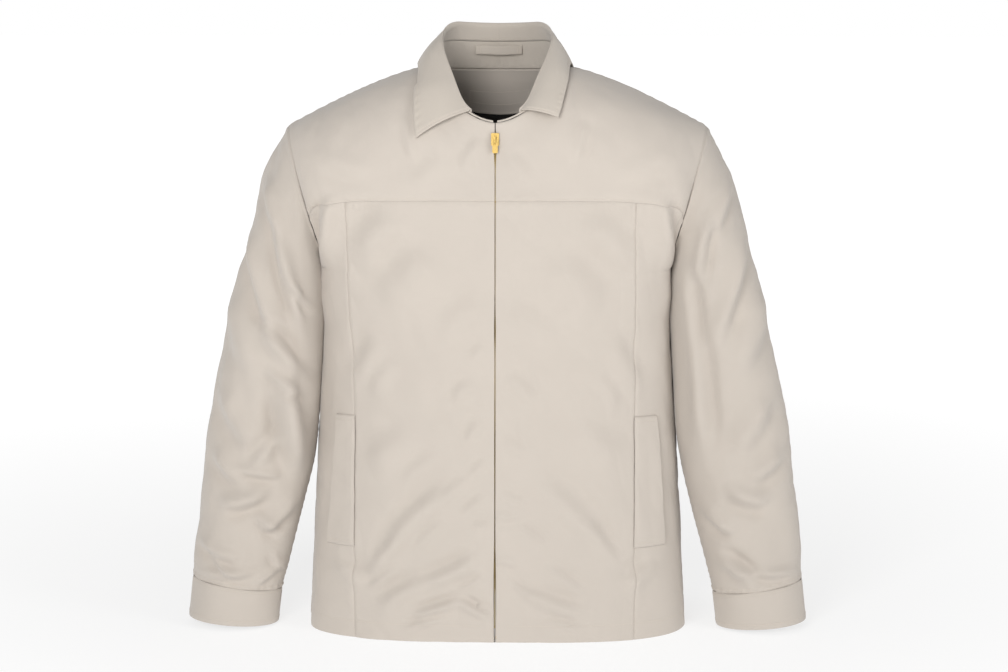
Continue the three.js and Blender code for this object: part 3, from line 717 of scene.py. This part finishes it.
def welt_surface(side):
    def surface(across, up):
        a, turn = turned(WELT[0] - across, 0.8)
        a = WELT[0] - a
        ends = np.minimum(up, WELT[1] - up)
        row = (WELT_BOTTOM + up) / YOKE_SEAM
        column = side * mix(seam_column(side)(row), 0.675, a / WELT[0])
        mouth = 2.6 * smooth(a, 16, WELT[0]) * np.sin(np.pi * np.clip(up / WELT[1], 0, 1)) ** 0.5
        sewn = -0.9 * bell(a, 1.6) - 1.3 * bell(ends, 1.3)
        caught = -0.35 * bell(ends - WELT_STITCH, 1.6)
        quilt = 0.3 * np.sin(up / 5 + side) * bell(a - 5, 6)
        lift = 2.3 + mouth + sewn + caught + quilt + turn + drape(FRONT, column, row)
        return body(FRONT, column, row) + body_normal(FRONT, column, row) * lift[..., None]
    return surface


for word, side in SIDES:
    welt = welt_surface(side)
    lines = WELT[0] - with_turn(WELT_TURN, WELT[0], 2, 0.8)[::-1]
    piece = cloth(f"{word}_welt", f"{word}_pocket_welt", welt, lines, graded(0, WELT[1], 2.4),
                  SHELL, thickness=0.0006)
    go_with_torso(piece)
    for up in (WELT_STITCH, WELT[1] - WELT_STITCH):
        stitching["torso"] += stitch_places(welt, (2, WELT[0] - 2), (up, up))


# ---- Sleeves ----
# Set-in sleeves of twill with an underarm seam, hanging a little forward, each lined with satin and
# gathered slightly onto a folded cuff band.
OUTER_LINE = np.array([(258, 624), (286, 572), (307, 503), (328, 424), (346, 342), (359, 272), (369, 203),
                       (377, 122), (381, 60)], float)
INNER_HEIGHTS = ((428, 1.5), (384, 1.5), (330, 1.5), (268, 2), (214, 3.5), (158, 13), (95, 26), (44, 37))
INNER_LINE = np.array([(CHEST_HALF_WIDTH, ARMHOLE_BOTTOM)] + [
    (mix(HEM_HALF_WIDTH, CHEST_HALF_WIDTH, z / ARMHOLE_BOTTOM) + room, z)
    for z, room in INNER_HEIGHTS], float)
SLEEVE_GIRTH = 400
SLEEVE_LENGTH = 590
SLEEVE_FORWARD = 34
CUFF_HEIGHT = 42
CUFF_TURN = 36
CUFF_CLOTH = 0.0005
UNDERARM_GAP = 0.05

SLEEVE_RELIEF = 1.5
RIGHT_SLEEVE_FOLDS = [
    (-266, 330, -248, 205, 14, -5.0, -4), (-304, 494, -266, 362, 10, 3.6, 4),
    (-267, 508, -236, 372, 8, 3.8, 3), (-292, 384, -228, 292, 10, -4.6, -6),
    (-262, 306, -240, 190, 13, 4.2, 3), (-340, 160, -284, 178, 10, 3.4, 4),
    (-292, 128, -246, 166, 9, 3.4, 3),
    (-372, 70, -304, 74, 7, 2.2, 2), (-300, 57, -266, 80, 6, 2.4, 0), (-336, 300, -296, 236, 15, 2.8, 4),
    (-330, 420, -300, 330, 16, 2.6, 3), (-350, 224, -312, 190, 11, 2.6, 3), (-366, 112, -322, 92, 8, 2.2, 2),
    (-283, 560, -262, 500, 9, 2.4, 2), (-262, 250, -300, 205, 9, 2.2, 2),
    (-252, 440, -222, 396, 5, 2.2, 2), (-280, 330, -240, 296, 6, 2.0, 2), (-318, 206, -268, 196, 6, 2.0, 2),
    (-300, 150, -258, 112, 6, 1.8, 2), (-352, 92, -322, 66, 5, 1.8, 1), (-278, 96, -262, 66, 5, 1.8, 1),
]
LEFT_SLEEVE_FOLDS = [
    (226, 450, 240, 360, 9, -4.2, -2), (240, 372, 252, 240, 11, -4.2, -3),
    (300, 492, 268, 366, 11, -3.0, -4),
    (277, 94, 326, 58, 9, -3.2, -2), (338, 168, 286, 184, 11, -3.0, -4), (294, 130, 256, 158, 9, -2.8, -2),
    (372, 76, 306, 80, 7, -2.0, -2), (334, 300, 292, 232, 15, -2.4, -4), (330, 420, 296, 330, 17, -2.6, -3),
    (350, 226, 312, 196, 11, -2.4, -3), (282, 560, 262, 500, 9, -2.2, -2), (256, 520, 246, 440, 8, -2.6, 0),
]
SLEEVE_BACK_FOLDS = [
    (300, 500, 270, 380, 12, -3.4, -5), (330, 410, 260, 330, 14, -3.4, -6),
    (338, 330, 262, 262, 12, -3.6, -5),
    (346, 262, 262, 214, 10, -3.6, -4), (352, 210, 270, 176, 9, -3.2, -3), (364, 130, 290, 104, 9, -2.6, -3),
]


def along_line(points, share):
    """A smooth line through points, at a share of the way along it."""
    ends = [2 * points[0] - points[1]], [2 * points[-1] - points[-2]]
    p = np.concatenate([ends[0], points, ends[1]])
    t = np.clip(share, 0, 1) * (len(points) - 1)
    i = np.minimum(t.astype(int), len(points) - 2)
    t = (t - i)[..., None]
    a, b, c, d = p[i], p[i + 1], p[i + 2], p[i + 3]
    return b + 0.5 * t * (c - a + t * (2 * a - 5 * b + 4 * c - d + t * (3 * (b - c) + d - a)))


def sleeve_tube(side, angle, share):
    outer = along_line(OUTER_LINE, share)
    inner = along_line(INNER_LINE, share)
    centre = (outer + inner) / 2
    half = (outer - inner) / 2
    upper = mix(ARMHOLE_DEPTH, 62, share * 2) + 5 * np.sin(share * 2 * np.pi)
    depth = np.where(share < 0.5, upper, mix(62, 46, share * 2 - 1))
    x = centre[..., 0] + half[..., 0] * np.cos(angle)
    z = centre[..., 1] + half[..., 1] * np.cos(angle)
    y = -SLEEVE_FORWARD * np.clip(share, 0, 1) ** 1.5 + depth * np.sin(angle)
    return np.stack([side * x, y, z], -1)


def tube_normal(side, angle, share):
    small = 1e-3
    around = sleeve_tube(side, angle + small, share) - sleeve_tube(side, angle - small, share)
    low, high = np.clip(share - small, 0, 1), np.clip(share + small, 0, 1)
    along = sleeve_tube(side, angle, high) - sleeve_tube(side, angle, low)
    return unit(np.cross(around, along)) * side * -1


def sleeve_drape(side, angle, share):
    point = sleeve_tube(side, angle, share)
    normal = tube_normal(side, angle, share)
    x, z = point[..., 0], point[..., 2]
    ahead = smooth(-normal[..., 1], -0.15, 0.55)
    behind = smooth(normal[..., 1], -0.15, 0.55)
    folds = LEFT_SLEEVE_FOLDS if side == LEFT else RIGHT_SLEEVE_FOLDS
    pressed = ahead * sum(fold(x, z, shape) for shape in folds)
    pressed = pressed + 0.65 * behind * sum(fold(np.abs(x), z, shape) for shape in SLEEVE_BACK_FOLDS)
    waves = 1.7 * ripple(point, 95, 11 + side) + 0.3 * ripple(point, 36, 17 + side)
    waves = waves + 1.4 * crumple(point, 80, 23 + side)
    inside = smooth(-side * normal[..., 0], 0.3, 0.9)
    ends = smooth(share, 0.0, 0.07) * (1 - 0.75 * smooth(share, 0.94, 1.0))
    return (SLEEVE_RELIEF * pressed + waves) * ends * (1 - 0.75 * inside)


def sleeve_surface(side, lining=False):
    def surface(across, down):
        angle = np.pi + 2 * np.pi * across / SLEEVE_GIRTH
        share = down / SLEEVE_LENGTH
        lift = sleeve_drape(side, angle, share)
        # Above the elbow the sleeve leans lightly against the front of the body.
        from_underarm = np.where(angle > 2 * np.pi, angle - 3 * np.pi, angle - np.pi)
        leaning = smooth(share, 0.03, 0.15) * (1 - smooth(share, 0.5, 0.64))
        lift = lift + 4.2 * leaning * bell(from_underarm - 0.32, 0.3)
        if lining:
            lift = np.minimum(lift, 0) * 1.1 - 5.2
        else:
            lift = lift + seam(down, across, side, 1.5, 1.0)
            lift = lift + seam(SLEEVE_LENGTH - down, across, 2, 0.6, 0.9)
            lift = lift + seam(np.minimum(across, SLEEVE_GIRTH - across), down, 4)
            # Three shallow tucks take the sleeve's width into the cuff, behind its outer edge.
            for place in (226, 240, 254):
                near_cuff = smooth(down, SLEEVE_LENGTH - 45, SLEEVE_LENGTH)
                lift = lift + 2.0 * (bell(across - place, 3.2) * near_cuff)
        return sleeve_tube(side, angle, share) + tube_normal(side, angle, share) * lift[..., None]
    return surface


CUFF_AXIS = np.array([5, -3, -45]) / np.linalg.norm([5, -3, -45])


def cuff_surface(side):
    axis = CUFF_AXIS * (side, 1, 1)

    def surface(across, up):
        up, turn = turned(up, 1.0)
        angle = np.pi + 2 * np.pi * across / SLEEVE_GIRTH
        one = np.ones_like(angle)
        ripples = 0.5 * np.sin(across / 9 + np.sin(across / 31)) * smooth(up, 0, CUFF_HEIGHT)
        top = -0.5 * bell(CUFF_HEIGHT - up, 1.5)
        lift = 1.1 + turn + top + ripples + 0.4 * bell(up - 5, 3)
        point = sleeve_tube(side, angle, one) + tube_normal(side, angle, one) * lift[..., None]
        # The band is a little deeper at the outside, where the sleeve ends higher.
        deeper = 1 + 0.2 * (1 + np.cos(angle)) / 2
        return point + axis * ((CUFF_HEIGHT - up) * deeper + 0.2)[..., None]
    return surface


def round_arm(points):
    away = points.copy()
    away[..., 0] -= np.sign(points[..., 0]) * 300
    away[..., 1] += 20
    away[..., 2] = 0
    return away


for word, side in SIDES:
    arm = sleeve_surface(side)
    ends = (UNDERARM_GAP, SLEEVE_GIRTH - UNDERARM_GAP)
    piece = cloth(f"{word}_arm", f"{word}_sleeve", arm, graded(*ends, CELL),
                  graded(0, SLEEVE_LENGTH, CELL), SLEEVE, round_arm)
    go_with_sleeve(piece)

    satin = sleeve_surface(side, lining=True)
    piece = cloth(f"{word}_arm_satin", f"{word}_sleeve_lining", satin,
                  graded(*ends, 5), graded(6, SLEEVE_LENGTH - 6, 5), LINING,
                  round_arm, True, SATIN)
    go_with_sleeve(piece)

    band = cuff_surface(side)
    piece = cloth(f"{word}_cuff_band", f"{word}_cuff", band, np.linspace(*ends, 150),
                  with_turn(CUFF_TURN, CUFF_HEIGHT, 2.6, 1.0), SLEEVE, round_arm,
                  thickness=CUFF_CLOTH)
    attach(piece, f"{word}_sleeve")

    rows = []
    for surface, height in ((band, CUFF_HEIGHT - 2.5), (band, 5), (arm, SLEEVE_LENGTH - 3),
                            (arm, SLEEVE_LENGTH - 8)):
        rows += stitch_places(surface, (2, SLEEVE_GIRTH - 2), (height, height))
    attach(copies(f"{word}_cuff_stitching", bead, rows, THREAD), f"{word}_sleeve")


# ---- Collar ----
# A shirt collar: a low stand on the neck seam, and a leaf that rises above it, rolls over and falls
# to the shoulders, topstitched round its edge. A hanger loop is sewn across the back of the stand.
LEAF_THICKNESS = 2.2
# The leaf runs from the centre back (0) past the side of the neck (1) and ends short of the zip (2).
COLLAR_REACH = 16 / 9
LEAF_SEAM = 0.62
STAND_HEIGHT = 56
STAND_DEPTH = 34
STAND_FRONT_HEIGHT = 4.5
STAND_REACH = 1.115
TIPS = {LEFT: (0.158, 1.64), RIGHT: (0.215, 1.37)}
SHOULDER_COLUMNS = {LEFT: 0.25, RIGHT: 0.285}
LEAF_SWELL = {LEFT: 0, RIGHT: 4}
ROLL_NARROWING = 0.69
COLLAR_SIZE = (330, 96)
COLLAR_STITCH = 6
ROLL_START = 0.17
ROLL_END = 0.25
ROLL_TOP = 0.95
ROLL_FOOT = 0.04


def neck_path(share):
    turn = share * COLLAR_REACH
    back_path = neckline(BACK, np.minimum(turn, 1))
    front_path = neckline(FRONT, 2 - np.maximum(turn, 1))
    return np.where((turn < 1)[..., None], back_path, front_path)


def roll_line(share):
    base = neck_path(share)
    rise = mix(STAND_HEIGHT, STAND_FRONT_HEIGHT, smooth(share, 0.3, 1))
    across = base[..., 0] * mix(ROLL_NARROWING, 1, share**3)
    # Seen from the front, the roll runs straight down from the back corners to the zip.
    across = across - 7 * bell(share - 0.83, 0.13)
    return np.stack([across, base[..., 1] * mix(0.93, 1, share), base[..., 2] + rise], -1)


def leaf_edge(share, side):
    turn = share * COLLAR_REACH
    tip_column, tip_row = TIPS[side]
    ahead = np.clip((turn - 1) * 9 / 7, 0, 1)
    behind = np.clip(turn, 0, 1)
    shoulder = SHOULDER_COLUMNS[side]
    rear = mix(0, shoulder, behind), mix(2 - 16 / 170, 1.985, behind)
    fore = mix(shoulder, tip_column, ahead), mix(1.985, tip_row, ahead)
    back_point = body(BACK, *rear) + body_normal(BACK, *rear) * (LEAF_THICKNESS + 2.4)
    front_point = body(FRONT, *fore) + body_normal(FRONT, *fore) * (LEAF_THICKNESS + 2.4)
    return np.where((turn < 1)[..., None], back_point, front_point)


def leaf_fall(share, fall, side):
    top = roll_line(share)
    low = leaf_edge(share, side)
    middle = mix(top, low, 0.42)
    middle[..., 0] += LEAF_SWELL[side] * np.sin(np.minimum(1, share * 1.1) * np.pi / 2)
    middle[..., 1] += 10 * np.cos(share * np.pi)
    middle[..., 2] += 7
    fall = fall[..., None]
    return mix(mix(top, middle, fall), mix(middle, low, fall), fall)


def stand_rise(share, height):
    low = neck_path(share)
    low[..., 2] += 0.4
    return mix(low, roll_line(share), height[..., None])


def offset_from(surface, share, place, offset):
    small = 2e-3
    s = np.clip(share, small, STAND_REACH)
    p = np.clip(place, small, 1 - small)
    across = surface(s + small, p) - surface(s - small, p)
    normal = unit(np.cross(across, surface(s, p + small) - surface(s, p - small)))
    point = surface(share, place)
    away = point.copy()
    away[..., 2] = 40
    normal = normal * np.where((normal * away).sum(-1, keepdims=True) < 0, -1, 1)
    return point + normal * np.asarray(offset)[..., None]


def on_side(point, side):
    point = point.copy()
    point[..., 0] = side * np.maximum(point[..., 0], 0)
    return point


def leaf_surface(side):
    def fall_surface(share, fall):
        return leaf_fall(share, fall, side)

    def surface(across, down):
        share = across / COLLAR_SIZE[0]
        place = down / COLLAR_SIZE[1]
        # The inner rise, from its seam with the stand up to the roll.
        rise = mix(LEAF_SEAM, ROLL_TOP, np.clip(place / ROLL_START, 0, 1))
        inner = offset_from(stand_rise, share, rise, 0 * share - 1.6)
        fall = mix(ROLL_FOOT, 1.0, np.clip((place - ROLL_END) / (1 - ROLL_END), 0, 1))
        from_edge = np.minimum((1 - place) * COLLAR_SIZE[1], (1 - share) * COLLAR_SIZE[0] * 1.15)
        puckers = 0.3 * np.sin(across / 1.9 + 2 * np.sin(across / 23)) * bell(from_edge - COLLAR_STITCH, 4)
        soft = 0.9 * ripple(fall_surface(share, fall), 62, 21 + side) * np.clip(fall * 2, 0, 1)
        edge = -0.5 * bell(from_edge, 1.5) - 0.25 * bell(from_edge - COLLAR_STITCH, 1.3)
        outer = offset_from(fall_surface, share, fall, LEAF_THICKNESS + puckers + soft + edge)
        a = offset_from(stand_rise, share, 0 * share + ROLL_TOP, 0 * share - 1.6)
        b = offset_from(fall_surface, share, 0 * share + ROLL_FOOT, 0 * share + LEAF_THICKNESS)
        turn = np.clip((place - ROLL_START) / (ROLL_END - ROLL_START), 0, 1)[..., None] * np.pi
        crown = np.array([0, 0, 1.25]) * np.linalg.norm(b - a, axis=-1, keepdims=True) / 2
        arc = (a + b) / 2 + (a - b) / 2 * np.cos(turn) + crown * np.sin(turn)
        point = np.where((place < ROLL_END)[..., None], arc, outer)
        point = np.where((place < ROLL_START)[..., None], inner, point)
        return on_side(point, side)
    return surface


def stand_surface(side):
    def surface(across, up):
        share = across / COLLAR_SIZE[0]
        height = up / STAND_DEPTH * (LEAF_SEAM - 0.01)
        lift = -1.2 - seam(up, across, 1, 0.3, 0.6) - seam(STAND_DEPTH - up, across, 2, 0.3, 0.3)
        return on_side(offset_from(stand_rise, share, height, lift), side)
    return surface


def collar_out(points):
    away = points.copy()
    away[..., 2] = 40
    return away


for word, side in SIDES:
    leaf = leaf_surface(side)
    lines = np.concatenate([np.linspace(0, ROLL_START, 8)[:-1], np.linspace(ROLL_START, ROLL_END, 9)[:-1],
                            graded(ROLL_END, 1, 0.026)]) * COLLAR_SIZE[1]
    piece = cloth(f"{word}_leaf", f"{word}_collar_leaf", leaf, graded(0, COLLAR_SIZE[0], 2.4), lines,
                  COLLAR, collar_out, thickness=0.0015)
    go_with_front(side, piece)

    stand = stand_surface(side)
    piece = cloth(f"{word}_stand", f"{word}_collar_stand", stand,
                  graded(0, COLLAR_SIZE[0] * STAND_REACH, 3), graded(0, STAND_DEPTH, 2.4), COLLAR,
                  collar_out, True, 0.0008)
    go_with_front(side, piece)

    group = stitching["left_front" if side == LEFT else "torso"]
    near_edge = COLLAR_SIZE[1] - 7
    group += stitch_places(leaf, (1, COLLAR_SIZE[0] - 5, COLLAR_SIZE[0] - 5), (near_edge, near_edge, 34))
    group += stitch_places(leaf, (1, COLLAR_SIZE[0] - 12), (2, 2))

loop_low, loop_high = (np.array(corner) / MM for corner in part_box("hanger_loop"))
LOOP = (58, 11)


def loop_surface(across, up):
    share = across / LOOP[0] * 2 - 1
    bow = (loop_high[1] - loop_low[1] - 0.8) * (1 - share**2)
    rounded = 0.35 * (1 - (up / LOOP[1] * 2 - 1) ** 4)
    y = loop_high[1] - 0.7 - bow - rounded
    return np.stack([across - LOOP[0] / 2, y, loop_low[2] + up + 0.3 * np.sin(across / 7)], -1)


piece = cloth("hanger_strap", "hanger_loop", loop_surface, graded(0, LOOP[0], 1.6),
              graded(0, LOOP[1], 1.2), COLLAR, inside=True, thickness=0.0009)
go_with_torso(piece)
for edge in (1.6, LOOP[1] - 1.6):
    stitching["torso"] += stitch_places(loop_surface, (1, LOOP[0] - 1), (edge, edge), 2.4)
for end in (3, 6, LOOP[0] - 6, LOOP[0] - 3):
    stitching["torso"] += stitch_places(loop_surface, (end, end), (1, LOOP[1] - 1), 1.8)

# A blank rectangle is stitched on the neck facing below the loop, where a label would be sewn.
left_end, right_end = NECK_FACING[0] / 2 - 20, NECK_FACING[0] / 2 + 20
stitching["torso"] += stitch_places(
    neck_facing, (left_end, right_end, right_end, left_end, left_end), (14, 14, 30, 30, 14), 2.4)

go_with_torso(copies("shell_stitching", bead, stitching["torso"], THREAD))
go_with_front(LEFT, copies("left_front_stitching", bead, stitching["left_front"], THREAD))


# ---- Zip ----
# A separating brass zip behind the front edges: two woven tapes, pressed teeth that mesh down the
# middle, a pin and box at the hem, and a slider with a loose pull at the top.
ZIP_LEAN = math.atan(30 / FRONT_NECK)
ZIP_LENGTH = math.hypot(30, FRONT_NECK)
TOOTH_PITCH = 2.5
TEETH_FROM = 18.5
TEETH_TO = ZIP_LENGTH - 8 - 3
TEETH_LAYER = 2.7


def on_zip(across, layer, up):
    """A point on the zip: across it, into the jacket from its face, and up it, in millimetres."""
    y = -131 + layer * math.cos(ZIP_LEAN) + up * math.sin(ZIP_LEAN)
    z = up * math.cos(ZIP_LEAN) - layer * math.sin(ZIP_LEAN)
    return np.stack(np.broadcast_arrays(across, y, z), -1).astype(float)


def tooth_steps(bm):
    bmesh.ops.create_cube(bm, size=1)
    bmesh.ops.scale(bm, verts=bm.verts, vec=(2.4 * MM, 2.1 * MM, 1.25 * MM))
    bmesh.ops.bevel(bm, geom=bm.edges[:], offset=0.3 * MM, segments=2, affect="EDGES", profile=0.6)


tooth = shaped("zip_tooth", tooth_steps)
for word, side in SIDES:
    def tape_surface(across, up, side=side):
        return on_zip(side * (2.6 + across), 2.2 + 0 * up, up)

    piece = cloth(f"{word}_tape", f"{word}_zip_tape", tape_surface, np.linspace(0, 12, 7),
                  np.linspace(4, ZIP_LENGTH - 8, 160), TAPE, thickness=0.0006)
    go_with_front(side, piece)

    heights = np.arange(TEETH_FROM, TEETH_TO, TOOTH_PITCH) + (0 if side == LEFT else TOOTH_PITCH / 2)
    lean = Matrix.Rotation(-ZIP_LEAN, 4, "X")
    places = [Matrix.Translation(Vector(on_zip(side * 0.75, TEETH_LAYER, up)) * MM) @ lean
              for up in heights]
    piece = copies(f"{word}_teeth", tooth, places, TEETH)
    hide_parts(f"{word}_zip_chain")
    go_with_front(side, piece)

for name in ("zip_slider", "zip_bail", "zip_pull", "zip_pin", "zip_box", "left_zip_stop", "right_zip_stop"):
    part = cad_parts[name]
    part.data.materials.clear()
    part.data.materials.append(BRASS)
    part.data.polygons.foreach_set("use_smooth", np.ones(len(part.data.polygons), bool))
    bevel = part.modifiers.new("worn_edges", "BEVEL")
    bevel.width = 0.28 * MM
    bevel.segments = 3
    bevel.limit_method = "ANGLE"
    bevel.harden_normals = True


# ---- Stage ----
# White studio: a matt floor lit from below, a white surround, a large soft key to the left of the
# camera and a weaker fill from the right.
def box_light(name, place, aim, size, power):
    light = bpy.data.lights.new(name, "AREA")
    light.shape = "RECTANGLE"
    light.size, light.size_y = size
    light.energy = power
    lamp = in_scene(name, light)
    lamp.location = place
    lamp.rotation_euler = (Vector(aim) - Vector(place)).to_track_quat("-Z", "Y").to_euler()


FLOOR_HALF = 9
floor_mesh = shaped("studio_floor", lambda bm: bmesh.ops.create_grid(
    bm, x_segments=1, y_segments=1, size=FLOOR_HALF))
floor = in_scene("studio_floor", floor_mesh)
floor_paint, floor_tree, floor_shader = new_material("white_backlit_acrylic_floor")
from_middle = add(floor_tree, "ShaderNodeVectorMath", {
    0: add(floor_tree, "ShaderNodeTexCoord").outputs["Object"]}, operation="LENGTH")
# The light under the floor is brightest away from the middle, where the lamps above do not reach.
glow = add(floor_tree, "ShaderNodeMapRange", {
    "Value": from_middle.outputs["Value"], "From Min": 0.4, "From Max": 2.2, "To Min": 0.74,
    "To Max": 0.97})
floor_tree.links.new(glow.outputs["Result"], floor_shader.inputs["Emission Strength"])
floor_shader.inputs["Base Color"].default_value = linear("#8e8e8e")
floor_shader.inputs["Emission Color"].default_value = (1, 1, 1, 1)
floor_shader.inputs["Roughness"].default_value = 0.9
floor_shader.inputs["Specular IOR Level"].default_value = 0.1
floor_mesh.materials.append(floor_paint)

box_light("key_softbox", (-0.8, -2.9, 1.35), (0, 0, 0.3), (1.2, 1.0), 53)
box_light("fill_softbox", (2.7, -2.0, 1.3), (0, 0, 0.35), (1.4, 1.4), 30)
world = bpy.data.worlds.new("white_surround")
world.use_nodes = True
world_tree = world.node_tree
world_tree.nodes.clear()
surround = add(world_tree, "ShaderNodeBackground", {"Color": (1, 1, 1, 1), "Strength": 0.37})
backdrop = add(world_tree, "ShaderNodeBackground", {"Color": (1, 1, 1, 1), "Strength": 1.0})
seen = add(world_tree, "ShaderNodeLightPath").outputs["Is Camera Ray"]
both_worlds = add(world_tree, "ShaderNodeMixShader", {
    0: seen, 1: surround.outputs[0], 2: backdrop.outputs[0]})
add(world_tree, "ShaderNodeOutputWorld", {"Surface": both_worlds.outputs[0]})
bpy.context.scene.world = world
bpy.context.scene.view_settings.view_transform = "Standard"
bpy.context.scene.view_settings.look = "None"

AIM = Vector((0.008, 0, 0.360))
DISTANCE = 4
ELEVATION = math.radians(10)
AZIMUTH = math.radians(1.5)
lens = bpy.data.cameras.new("studio_camera")
lens.lens = 114.3
lens.sensor_width = 36
camera = in_scene("studio_camera", lens)
camera.location = AIM + DISTANCE * Vector((
    math.sin(AZIMUTH) * math.cos(ELEVATION), -math.cos(AZIMUTH) * math.cos(ELEVATION), math.sin(ELEVATION)))
camera.rotation_euler = (AIM - camera.location).to_track_quat("-Z", "Y").to_euler()
bpy.context.scene.camera = camera
